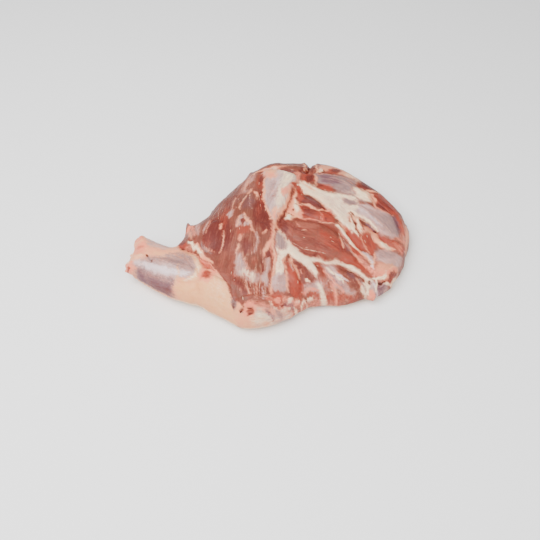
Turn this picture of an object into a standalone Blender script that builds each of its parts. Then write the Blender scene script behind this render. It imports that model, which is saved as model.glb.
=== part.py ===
"""A raw bone-in lamb shoulder, banjo cut: the round blade joint with its foreshank as a handle.

It lies on its fat side with the rib side up. +X runs from the shank's knuckle to the blade edge,
+Y away from the elbow and +Z up. The origin is on the resting face, at the middle of the box.
Plan places and heights are in millimetres and become metres in one place, in laid_down().
"""

import math

import bmesh
import bpy
import numpy as np
from mathutils import Vector

MM = 0.001

# The drawing's point that becomes the origin, in plan.
DRAWING_CENTRE = (0.9, -4.45)

# How finely the skin of the meat is divided: across the shank and blade, and round each section.
STATIONS = 90
TOP_COLUMNS = 42
UNDER_COLUMNS = 18
OUTLINE_STEPS = 260

# The cut's edge in plan, as pairs across it: a point on the elbow side, a point on the far side.
EDGE_PAIRS = [
    ((-172, -57), (-171, -46)),
    ((-169, -61), (-167, -33)),
    ((-163, -64), (-164, -14)),
    ((-151, -71), (-156, -9)),
    ((-139, -79), (-147, -14)),
    ((-127, -86), (-136, -20)),
    ((-113, -94), (-126, -25)),
    ((-98, -99), (-118, -27)),
    ((-83, -104), (-112, -20)),
    ((-67, -112), (-107, -8)),
    ((-51, -120), (-103, 4)),
    ((-34, -130), (-92, 11)),
    ((-16, -131), (-80, 24)),
    ((3, -126), (-71, 45)),
    ((19, -118), (-58, 61)),
    ((35, -108), (-43, 81)),
    ((51, -101), (-27, 97)),
    ((67, -98), (-12, 110)),
    ((85, -98), (6, 118)),
    ((103, -93), (28, 122)),
    ((119, -89), (52, 123)),
    ((134, -82), (75, 121)),
    ((147, -72), (98, 111)),
    ((158, -54), (118, 95)),
    ((167, -37), (136, 78)),
    ((173, -15), (151, 63)),
    ((176, 4), (163, 45)),
    ((177, 19), (171, 33)),
]

# Spot marks of the form: plan place, height of the top, height of the widest line, rounding of the edge.
FORM_MARKS = [
    ((-160, -34), 43, 21, 22),
    ((-125, -54), 46, 21, 24),
    ((-88, -68), 50, 20, 26),
    ((-40, -95), 54, 16, 30),
    ((-70, -10), 52, 12, 36),
    ((-30, 0), 62, 12, 40),
    ((-50, 50), 46, 11, 40),
    ((5, 70), 58, 11, 45),
    ((12, -20), 60, 11, 40),
    ((15, -80), 50, 12, 34),
    ((50, 0), 52, 10, 40),
    ((60, 50), 50, 10, 40),
    ((50, 95), 38, 10, 45),
    ((100, 60), 40, 10, 40),
    ((60, -60), 44, 10, 30),
    ((105, -50), 38, 10, 28),
    ((120, 20), 40, 9, 32),
    ((150, 20), 34, 9, 28),
]
MARK_REACH = 34
UNDER_ROUNDING = 0.7

# Creases between the muscles, on the top: points along the crease, half-width, depth.
CREASES = [
    ([(-110, -30), (-103, -42), (-91, -50), (-80, -58), (-73, -68)], 5, 6),  # shank from body
    ([(-73, -68), (-62, -80), (-47, -98), (-36, -118)], 5, 3),  # elbow fat from body
    ([(30, 48), (27, 32), (23, 15), (18, 2), (10, -11)], 5, 9),  # the cleft beside the flap
    ([(9, -14), (5, -35), (5, -60), (1, -104)], 4, 3),  # long head from the white strip
    ([(4, -12), (-5, 8), (-9, 35), (-10, 74)], 4, 3),  # flap from the long head
    ([(12, -12), (30, -6), (58, -6), (78, -10), (90, -24), (102, -48), (122, -74)], 4, 3),
    ([(10, -18), (20, -34), (36, -49), (62, -56), (86, -58)], 4, 3),  # oval from the fat band
    ([(34, 50), (45, 38), (58, 31), (70, 17), (84, 2)], 4, 4),  # under the slanting white band
    ([(86, -66), (98, -71), (107, -76), (118, -82)], 4, 5),  # torn line near the tab
    ([(108, 14), (118, 5), (126, -8), (134, -18), (146, -34)], 4, 4),  # under the silver sheet
    ([(112, 64), (128, 56), (133, 38), (150, 22), (162, -4)], 5, 2),  # the sheet's far border
    ([(-8, 79), (12, 80), (31, 77)], 4, 3),  # the flap's far border
]

# Swells, on the top: place, half-length, half-width, turn from +X in degrees, height.
SWELLS = [
    ((-68, -26), 22, 11, 75, 3),  # dark oval of the long head
    ((-22, -60), 34, 12, 85, 2),
    ((58, -30), 50, 21, -24, 6),  # the oval muscle in the middle
    ((50, 29), 20, 8, -38, 3),
    ((60, 6), 22, 7, -14, 3),
    ((85, 66), 34, 12, -22, 3),  # upper silver band
    ((134, 14), 34, 17, -52, 4),  # silver sheet at the blade edge
    ((22, 92), 26, 8, 5, 3),
    ((26, -82), 20, 7, 108, 3),
    ((56, -80), 18, 6, 108, 3),
    ((88, -80), 16, 7, 150, 3),
    ((-62, -100), 22, 13, -35, 4),  # fat dome of the elbow
    ((-14, -116), 28, 7, 5, 3),
    ((-112, -72), 34, 11, -24, 3),  # bare shin
]

# The silver flap that hangs over the middle: its outline, height and the softness of its edge.
FLAP = [(-8, 76), (12, 79), (32, 75), (31, 56), (23, 40), (17, 18), (9, -3), (3, -12), (-6, 12), (-9, 45)]
FLAP_HEIGHT = 3
FLAP_SOFTNESS = 4

# Tugs on the skin: place with height, reach, and the shift at its middle.
TUGS = [
    ((-102, 2, 26), 8, (0, 4, 12)),  # loose scrap beside the shank
    ((124, -86, 12), 8, (0, -6, 1)),  # tab on the blade's near edge
    ((53, 121, 16), 8, (0, -8, 0)),  # nick in the far edge, low and high
    ((53, 112, 32), 8, (0, -4, -8)),
    ((42, 117, 28), 6, (0, 1, 3)),  # lobes on both sides of the nick
    ((64, 116, 28), 6, (0, 1, 3)),
    ((-170, -56, 16), 6, (-4, 0, 0)),  # lower lobe at the knuckle
    ((-166, -36, 24), 5, (3, 0, 0)),  # hollow round the bone's upper knob
    ((-171, -48, 24), 5, (2, 0, 0)),  # and round the lower one
]
RELIEF_FADE = 14

# The foreshank's bone: its line, its thickness, and the two knobs that show at the knuckle.
BONE_START = (-164, -43, 23)
BONE_END = (-52, -84, 25)
BONE_RADIUS = 8
BONE_NECK_RADIUS = 7
BONE_SIDES = 24
KNOBS = [
    ((-163, -37, 24), 6.2),
    ((-169, -50, 23), 6.0),
]
BONE_CLEARANCE = 0.3

# Seen colours, linear: red muscle and cream cartilage.
MEAT_COLOUR = (0.42, 0.12, 0.085, 1)
BONE_COLOUR = (0.78, 0.66, 0.55, 1)
WET_ROUGHNESS = 0.42
BONE_ROUGHNESS = 0.35


def smooth_curve(points, places):
    """The Catmull-Rom curve through the points, at these fractional point numbers."""
    p = np.array(points, float)
    p = np.vstack([2 * p[0] - p[1], p, 2 * p[-1] - p[-2]])
    i = np.clip(np.floor(places).astype(int), 0, len(points) - 2)
    t = (places - i)[:, None]
    a, b, c, d = p[i], p[i + 1], p[i + 2], p[i + 3]
    return 0.5 * (
        2 * b
        + (c - a) * t
        + (2 * a - 5 * b + 4 * c - d) * t**2
        + (3 * b - a - 3 * c + d) * t**3
    )


def edge_outline(steps):
    """The closed outline in plan: along the elbow side, then back along the far side."""
    places = np.linspace(0, len(EDGE_PAIRS) - 1, steps)
    near = smooth_curve([pair[0] for pair in EDGE_PAIRS], places)
    far = smooth_curve([pair[1] for pair in EDGE_PAIRS], places)
    return np.vstack([near, far[::-1]])


def distance_to_line(xy, line, closed=False):
    """The distance of each plan point to a polyline."""
    line = np.array(line, float)
    ends = np.roll(line, -1, axis=0) if closed else line[1:]
    starts = line if closed else line[:-1]
    best = np.full(len(xy), np.inf)
    for a, b in zip(starts, ends):
        along = b - a
        t = np.clip((xy - a) @ along / max(along @ along, 1e-9), 0, 1)
        best = np.minimum(best, np.linalg.norm(xy - a - t[:, None] * along, axis=1))
    return best


def inside_outline(xy, line):
    """Whether each plan point is inside a closed polyline, by counting crossings."""
    line = np.array(line, float)
    inside = np.zeros(len(xy), bool)
    for a, b in zip(line, np.roll(line, -1, axis=0)):
        crosses = (a[1] > xy[:, 1]) != (b[1] > xy[:, 1])
        rise = b[1] - a[1] if b[1] != a[1] else 1
        inside ^= crosses & (xy[:, 0] < a[0] + (xy[:, 1] - a[1]) * (b[0] - a[0]) / rise)
    return inside


def form_at(xy):
    """Top height, widest-line height and edge rounding at each plan point, from the spot marks."""
    places = np.array([mark[0] for mark in FORM_MARKS], float)
    values = np.array([mark[1:] for mark in FORM_MARKS], float)
    gap = np.linalg.norm(xy[:, None, :] - places[None], axis=2)
    weight = np.exp(-((gap / MARK_REACH) ** 2)) + 1e-6 / (1 + gap)
    return (weight @ values / weight.sum(axis=1)[:, None]).T


def relief_at(xy):
    """Height that the creases, the swells and the flap add at each plan point."""
    height = np.zeros(len(xy))
    for (cx, cy), half_length, half_width, degrees, rise in SWELLS:
        turn = math.radians(degrees)
        along = (xy[:, 0] - cx) * math.cos(turn) + (xy[:, 1] - cy) * math.sin(turn)
        across = (xy[:, 1] - cy) * math.cos(turn) - (xy[:, 0] - cx) * math.sin(turn)
        spread = (along / half_length) ** 2 + (across / half_width) ** 2
        height += rise * np.sqrt(np.clip(1 - spread, 0, 1))
    for line, half_width, depth in CREASES:
        height -= depth * np.exp(-((distance_to_line(xy, line) / half_width) ** 2))
    border = distance_to_line(xy, FLAP, closed=True) * np.where(inside_outline(xy, FLAP), 1, -1)
    return height + FLAP_HEIGHT / (1 + np.exp(-3 * border / FLAP_SOFTNESS))


def ring_places(columns):
    """Fractions across a section, closer together towards both edges."""
    even = np.linspace(0, 1, columns + 1)
    return 0.5 * even + 0.5 * (1 - np.cos(np.pi * even)) / 2


def plan_of_skin():
    """Plan point and side (+1 top, -1 under) for each station and ring number."""
    along = np.linspace(0, 1, STATIONS + 1)
    along = 0.75 * along + 0.25 * (1 - np.cos(np.pi * along)) / 2
    places = along * (len(EDGE_PAIRS) - 1)
    near = smooth_curve([pair[0] for pair in EDGE_PAIRS], places)
    far = smooth_curve([pair[1] for pair in EDGE_PAIRS], places)
    over = ring_places(TOP_COLUMNS)[:-1]
    under = 1 - ring_places(UNDER_COLUMNS)[:-1]
    across = np.concatenate([over, under])
    side = np.concatenate([np.ones(len(over)), -np.ones(len(under))])
    plan = near[:, None] + (far - near)[:, None] * across[None, :, None]
    plan[0] = plan[0].mean(axis=0)
    plan[-1] = plan[-1].mean(axis=0)
    return plan, np.broadcast_to(side, plan.shape[:2])


def skin(plan, side):
    """The meat's skin over these plan points: rounded edges, flat underside, relief on the top."""
    xy = plan.reshape(-1, 2)
    side = side.reshape(-1)
    inside = distance_to_line(xy, edge_outline(OUTLINE_STEPS), closed=True)
    top, widest, rounding = form_at(xy)
    arch = np.sqrt(1 - (1 - np.clip(inside / rounding, 0, 1)) ** 2)
    fade = np.clip(inside / RELIEF_FADE, 0, 1)
    upper = widest + (top - widest) * arch + relief_at(xy) * fade**2 * (3 - 2 * fade)
    belly = np.sqrt(1 - (1 - np.clip(inside / (UNDER_ROUNDING * rounding), 0, 1)) ** 2)
    lower = widest * (1 - belly)
    places = np.column_stack([xy, np.where(side > 0, upper, lower)])
    for centre, reach, shift in TUGS:
        gap = np.linalg.norm(places - centre, axis=1)
        places += np.exp(-((gap / reach) ** 2))[:, None] * shift
    places[:, 2] = np.maximum(places[:, 2], 0)
    return places.reshape(*plan.shape[:2], 3)


def laid_down(place):
    """A drawing place in millimetres as a place in metres from the origin."""
    return Vector((place[0] - DRAWING_CENTRE[0], place[1] - DRAWING_CENTRE[1], place[2])) * MM


def finish(name, colour, roughness):
    """A Principled material of one seen colour."""
    material = bpy.data.materials.new(name)
    material.use_nodes = True
    shader = material.node_tree.nodes["Principled BSDF"]
    shader.inputs["Base Color"].default_value = colour
    shader.inputs["Roughness"].default_value = roughness
    shader.inputs["Metallic"].default_value = 0
    return material


def move_to(obj, collection):
    """Puts an object in this collection alone."""
    for home in list(obj.users_collection):
        home.objects.unlink(obj)
    collection.objects.link(obj)


def boolean(obj, operation):
    """An exact Boolean modifier on the object."""
    modifier = obj.modifiers.new(operation.lower(), "BOOLEAN")
    modifier.operation = operation
    modifier.solver = "EXACT"
    return modifier


def applied(obj, name, collection):
    """A plain mesh object in world places, with the modifiers made; the old object goes."""
    bpy.context.view_layer.update()
    graph = bpy.context.evaluated_depsgraph_get()
    mesh = bpy.data.meshes.new_from_object(obj.evaluated_get(graph))
    mesh.transform(obj.matrix_world)
    bpy.data.objects.remove(obj)
    mesh.name = name
    result = bpy.data.objects.new(name, mesh)
    collection.objects.link(result)
    return result


def meat(collection):
    """The shoulder: a ball whose rings are laid across the cut, one behind the other."""
    mesh = bpy.data.meshes.new("shoulder_meat")
    obj = bpy.data.objects.new("shoulder_meat", mesh)
    ring = TOP_COLUMNS + UNDER_COLUMNS
    ball = bmesh.new()
    bmesh.ops.create_uvsphere(ball, u_segments=ring, v_segments=STATIONS, radius=1)
    places = skin(*plan_of_skin())
    for v in ball.verts:
        station = round(math.acos(max(-1, min(1, v.co.z))) / math.pi * STATIONS)
        turn = round(math.atan2(v.co.y, v.co.x) / (2 * math.pi) * ring) % ring
        v.co = laid_down(places[station, turn])
    bmesh.ops.recalc_face_normals(ball, faces=ball.faces)
    ball.to_mesh(mesh)
    ball.free()
    mesh.shade_smooth()
    collection.objects.link(obj)
    return obj


def bone_form(name, collection, spare):
    """The bone, this much fatter all round: a tapered shaft with two knobs at its knuckle end."""
    start = laid_down(BONE_START)
    along = laid_down(BONE_END) - start
    end = start + along * (1 + spare * MM / along.length)
    bpy.ops.mesh.primitive_cone_add(
        vertices=BONE_SIDES,
        radius1=(BONE_RADIUS + spare) * MM,
        radius2=(BONE_NECK_RADIUS + spare) * MM,
        depth=(end - start).length,
        location=(start + end) / 2,
        rotation=along.to_track_quat("Z", "Y").to_euler(),
    )
    shaft = bpy.context.object
    move_to(shaft, collection)
    knobs = bpy.data.collections.new(name + "_knobs")
    bpy.context.scene.collection.children.link(knobs)
    for place, radius in KNOBS:
        bpy.ops.mesh.primitive_uv_sphere_add(
            segments=BONE_SIDES,
            ring_count=BONE_SIDES // 2,
            radius=(radius + spare) * MM,
            location=laid_down(place),
        )
        move_to(bpy.context.object, knobs)
    union = boolean(shaft, "UNION")
    union.operand_type = "COLLECTION"
    union.collection = knobs
    whole = applied(shaft, name, collection)
    for knob in list(knobs.objects):
        bpy.data.objects.remove(knob)
    bpy.data.collections.remove(knobs)
    whole.data.materials.clear()
    return whole


def main():
    for old in list(bpy.data.objects):
        bpy.data.objects.remove(old)
    collection = bpy.data.collections.new("lamb_shoulder")
    cutters = bpy.data.collections.new("cutters")
    bpy.context.scene.collection.children.link(collection)
    bpy.context.scene.collection.children.link(cutters)

    shoulder = meat(collection)
    bore = bone_form("bone_bore", cutters, BONE_CLEARANCE)
    bore.hide_render = True
    bore.display_type = "WIRE"
    boolean(shoulder, "DIFFERENCE").object = bore
    shoulder.data.materials.append(finish("raw_lamb", MEAT_COLOUR, WET_ROUGHNESS))

    bone = bone_form("shank_bone", collection, 0)
    bone.data.materials.append(finish("cartilage", BONE_COLOUR, BONE_ROUGHNESS))
    bone.data.shade_smooth()


main()
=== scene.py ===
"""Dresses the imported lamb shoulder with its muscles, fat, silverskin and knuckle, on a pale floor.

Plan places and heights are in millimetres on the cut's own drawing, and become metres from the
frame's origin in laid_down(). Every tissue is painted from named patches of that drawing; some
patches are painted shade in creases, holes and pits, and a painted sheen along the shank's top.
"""

import math

import bpy
import numpy as np
from bpy.props import FloatProperty, FloatVectorProperty, IntProperty, PointerProperty
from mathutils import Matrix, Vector


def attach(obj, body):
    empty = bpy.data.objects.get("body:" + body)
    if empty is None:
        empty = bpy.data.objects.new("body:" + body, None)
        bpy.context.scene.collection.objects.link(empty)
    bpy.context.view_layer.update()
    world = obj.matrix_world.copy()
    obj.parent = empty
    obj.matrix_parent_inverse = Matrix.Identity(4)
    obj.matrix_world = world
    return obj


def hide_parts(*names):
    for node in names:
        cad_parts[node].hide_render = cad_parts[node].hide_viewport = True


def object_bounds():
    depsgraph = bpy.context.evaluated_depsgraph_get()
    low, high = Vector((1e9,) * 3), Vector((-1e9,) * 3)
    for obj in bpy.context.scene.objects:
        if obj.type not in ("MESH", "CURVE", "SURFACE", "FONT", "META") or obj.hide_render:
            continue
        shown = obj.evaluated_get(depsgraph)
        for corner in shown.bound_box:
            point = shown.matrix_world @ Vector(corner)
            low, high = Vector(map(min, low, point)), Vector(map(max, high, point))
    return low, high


bl_info = {
    "name": "Raw lamb shoulder",
    "version": (1, 0, 0),
    "blender": (4, 5, 0),
    "location": "3D View > Sidebar > Lamb shoulder",
    "description": "Dresses a raw bone-in lamb shoulder with muscle, fat, silverskin and its knuckle",
    "category": "Object",
}

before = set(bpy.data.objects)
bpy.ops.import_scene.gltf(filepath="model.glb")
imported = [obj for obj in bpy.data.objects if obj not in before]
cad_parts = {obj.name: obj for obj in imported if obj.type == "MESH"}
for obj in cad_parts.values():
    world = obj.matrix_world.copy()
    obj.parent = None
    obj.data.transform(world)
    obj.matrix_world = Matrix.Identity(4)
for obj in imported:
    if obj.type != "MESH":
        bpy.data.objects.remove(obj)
CAD_LOW, CAD_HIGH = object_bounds()

MM = 0.001

# The drawing's point that is the frame's origin, in plan.
DRAWING_CENTRE = (0.9, -4.45)

# The cut's edge in plan, as pairs across it: a point on the elbow side, a point on the far side.
EDGE_PAIRS = [
    ((-172, -57), (-171, -46)),
    ((-169, -61), (-167, -33)),
    ((-163, -64), (-164, -14)),
    ((-151, -71), (-156, -9)),
    ((-139, -79), (-147, -14)),
    ((-127, -86), (-136, -20)),
    ((-113, -94), (-126, -25)),
    ((-98, -99), (-118, -27)),
    ((-83, -104), (-112, -20)),
    ((-67, -112), (-107, -8)),
    ((-51, -120), (-103, 4)),
    ((-34, -130), (-92, 11)),
    ((-16, -131), (-80, 24)),
    ((3, -126), (-71, 45)),
    ((19, -118), (-58, 61)),
    ((35, -108), (-43, 81)),
    ((51, -101), (-27, 97)),
    ((67, -98), (-12, 110)),
    ((85, -98), (6, 118)),
    ((103, -93), (28, 122)),
    ((119, -89), (52, 123)),
    ((134, -82), (75, 121)),
    ((147, -72), (98, 111)),
    ((158, -54), (118, 95)),
    ((167, -37), (136, 78)),
    ((173, -15), (151, 63)),
    ((176, 4), (163, 45)),
    ((177, 19), (171, 33)),
]
OUTLINE_STEPS = 260

# Spot marks of the form: plan place, height of the top, height of the widest line, edge rounding.
FORM_MARKS = [
    ((-160, -34), 43, 21, 22),
    ((-125, -54), 46, 21, 24),
    ((-88, -68), 50, 20, 26),
    ((-40, -95), 54, 16, 30),
    ((-70, -10), 52, 12, 36),
    ((-30, 0), 62, 12, 40),
    ((-50, 50), 46, 11, 40),
    ((5, 70), 58, 11, 45),
    ((12, -20), 60, 11, 40),
    ((15, -80), 50, 12, 34),
    ((50, 0), 52, 10, 40),
    ((60, 50), 50, 10, 40),
    ((50, 95), 38, 10, 45),
    ((100, 60), 40, 10, 40),
    ((60, -60), 44, 10, 30),
    ((105, -50), 38, 10, 28),
    ((120, 20), 40, 9, 32),
    ((150, 20), 34, 9, 28),
]
MARK_REACH = 34
UNDER_ROUNDING = 0.7

# Creases between the muscles: points along the crease, half-width, depth.
CREASES = [
    ([(-110, -30), (-103, -41), (-91, -48), (-80, -58), (-73, -68)], 4, 4.5),
    ([(-73, -68), (-62, -80), (-47, -98), (-36, -118)], 5, 1.6),
    ([(31, 50), (28.5, 34), (25, 18), (20, 6), (11, -8)], 1.8, 2.4),
    ([(9, -14), (5, -35), (5, -60), (1, -104)], 4, 1.6),
    ([(4, -12), (-5, 8), (-9, 35), (-10, 74)], 4, 0.8),
    ([(12, -12), (30, -6), (58, -6), (78, -10), (90, -24), (102, -48), (122, -74)], 4, 1.8),
    ([(10, -18), (20, -34), (36, -49), (62, -56), (86, -58)], 4, 2),
    ([(34, 50), (45, 38), (58, 31), (70, 17), (84, 2)], 4, 2.5),
    ([(86, -66), (98, -71), (107, -76), (118, -82)], 3, 2.2),
    ([(108, 14), (118, 5), (126, -8), (134, -18), (146, -34)], 3.5, 2.6),
    ([(112, 64), (128, 56), (133, 38), (150, 22), (162, -4)], 5, 2),
    ([(-8, 79), (12, 80), (31, 77)], 4, 3),
    ([(47, 84), (50, 96), (53, 108), (54.5, 120)], 2.4, 5),
    ([(24, -57), (27, -66), (31, -75), (35, -86)], 3, 1.5),
    ([(52, -62), (55, -74), (55, -86)], 4, 1.5),
    ([(90, -6), (98, -20), (110, -36)], 4, 2),
    ([(60, 14), (70, 17), (78, 12)], 4, 1.5),
]

# Swells: place, half-length, half-width, turn from +X in degrees, height.
SWELLS = [
    ((-68, -26), 22, 11, 75, 3),
    ((-22, -60), 34, 12, 85, 2),
    ((58, -30), 50, 21, -24, 6),
    ((50, 29), 20, 8, -38, 3),
    ((60, 6), 22, 7, -14, 3),
    ((85, 66), 34, 12, -22, 3),
    ((134, 14), 34, 17, -52, 4),
    ((22, 92), 26, 8, 5, 3),
    ((26, -82), 20, 7, 108, 3),
    ((56, -80), 18, 6, 108, 3),
    ((88, -80), 16, 7, 150, 3),
    ((-62, -100), 22, 13, -35, 4),
    ((-14, -116), 28, 7, 5, 3),
    ((-112, -72), 34, 11, -24, 3),
]
FLAP = [(-8, 76), (12, 79), (32, 75), (31, 56), (23, 40), (17, 18), (9, -3), (3, -12), (-6, 12),
    (-9, 45)]
FLAP_HEIGHT = 3

# Tugs on the skin: place with height, reach, and the shift at its middle.
TUGS = [
    ((-102, 2, 26), 8, (0, 4, 12)),
    ((124, -86, 12), 8, (0, -6, 1)),
    ((175, 27, 10), 12, (-2.4, -1.6, 0)),
    ((-98, 7, 36), 4.5, (0.8, -6.1, 0)),
    ((-75, 29, 26), 4, (0, 4.1, 0)),
    ((-63, 47, 29), 5, (0, -5.5, 0)),
    ((-34, 81, 33), 4, (0, -4.5, 0)),
    ((-26, 90, 32), 4, (0, 4.1, 0)),
    ((-8, 97, 42), 9, (0, -4.9, 0)),
    ((21, 111, 32), 6, (0, -3, 0)),
    ((173, 18, 22), 8, (-3, -1.8, 0)),
    ((169, -29, 13), 8, (-1.9, 0, 0)),
    ((151, -66, 11), 6, (-2.8, 2.2, 0)),
    ((111, -89, 5), 6, (0, 3.9, 0)),
    ((128, -90, 11), 5, (-1.2, 2.7, 0)),
    ((44, -101, 6), 6, (0, 2.4, 0)),
    ((24, -112, 7), 6, (0, -2, 0)),
    ((-107, -94, 10), 10, (0, 2.2, 0)),
    ((-86, -101, 11), 10, (0, 2, 0)),
    ((55, 121, 16), 5, (0, -10, 0)),
    ((55, 115, 26), 4.5, (0, -9, -8)),
    ((47, 116, 28), 3.5, (0, 1, 2)),
    ((62, 115, 28), 3.5, (0, 1, 1.5)),
    ((-163, -8, 22), 7, (-4.4, 0, 0)),
    ((-165, -19, 24), 7, (-1.6, -0.4, 2)),
    ((-168, -28.5, 22), 3.2, (7, 0, 0)),
    ((-166, -35, 31), 3, (3.5, 0, 0)),
    ((-170.5, -35, 25), 3, (-9.5, 0, 0)),
    ((-169.5, -41, 22), 3.2, (5, 0, 0)),
    ((-168, -47.5, 31), 3.4, (5, 0, 0)),
    ((-172, -48, 22), 3, (-4, 0, 1)),
    ((-171, -52, 27), 3, (-2.4, 0, 0)),
    ((-172, -57, 21), 3, (-2.6, 0, 0)),
    ((-168, -61, 12), 6, (6.5, 4.2, 0)),
]
RELIEF_FADE = 14

# The tissues that the patches lay over the plain muscle, each with the height that it adds. The
# near-black crease tissue is painted shade in dents, creases and pits, the darkest muscle is also
# painted as shade along creases, and the palest silverskin is also a painted sheen on the shank.
TISSUES = {
    "dark_muscle_and_shade": 0,
    "bright": 0,
    "salmon": 0.1,
    "cream": 0.9,
    "peach": 0.4,
    "silver": 0.35,
    "lilac": 0.15,
    "purple": 0,
    "hole_shade": -1.5,
    "pale_silver_and_sheen": 0.4,
    "brown": 0,
    "fat": 0.5,
    "pale": 0,
    "marble": 0,
}

# How far a patch of plain flesh takes away the marbling that was there.
PLAIN_SHARE = {"dark_muscle_and_shade": 0.6, "bright": 0.6, "brown": 0.6, "purple": 0.4}
FATTY = ("cream", "peach", "silver", "pale_silver_and_sheen", "fat")

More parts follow.
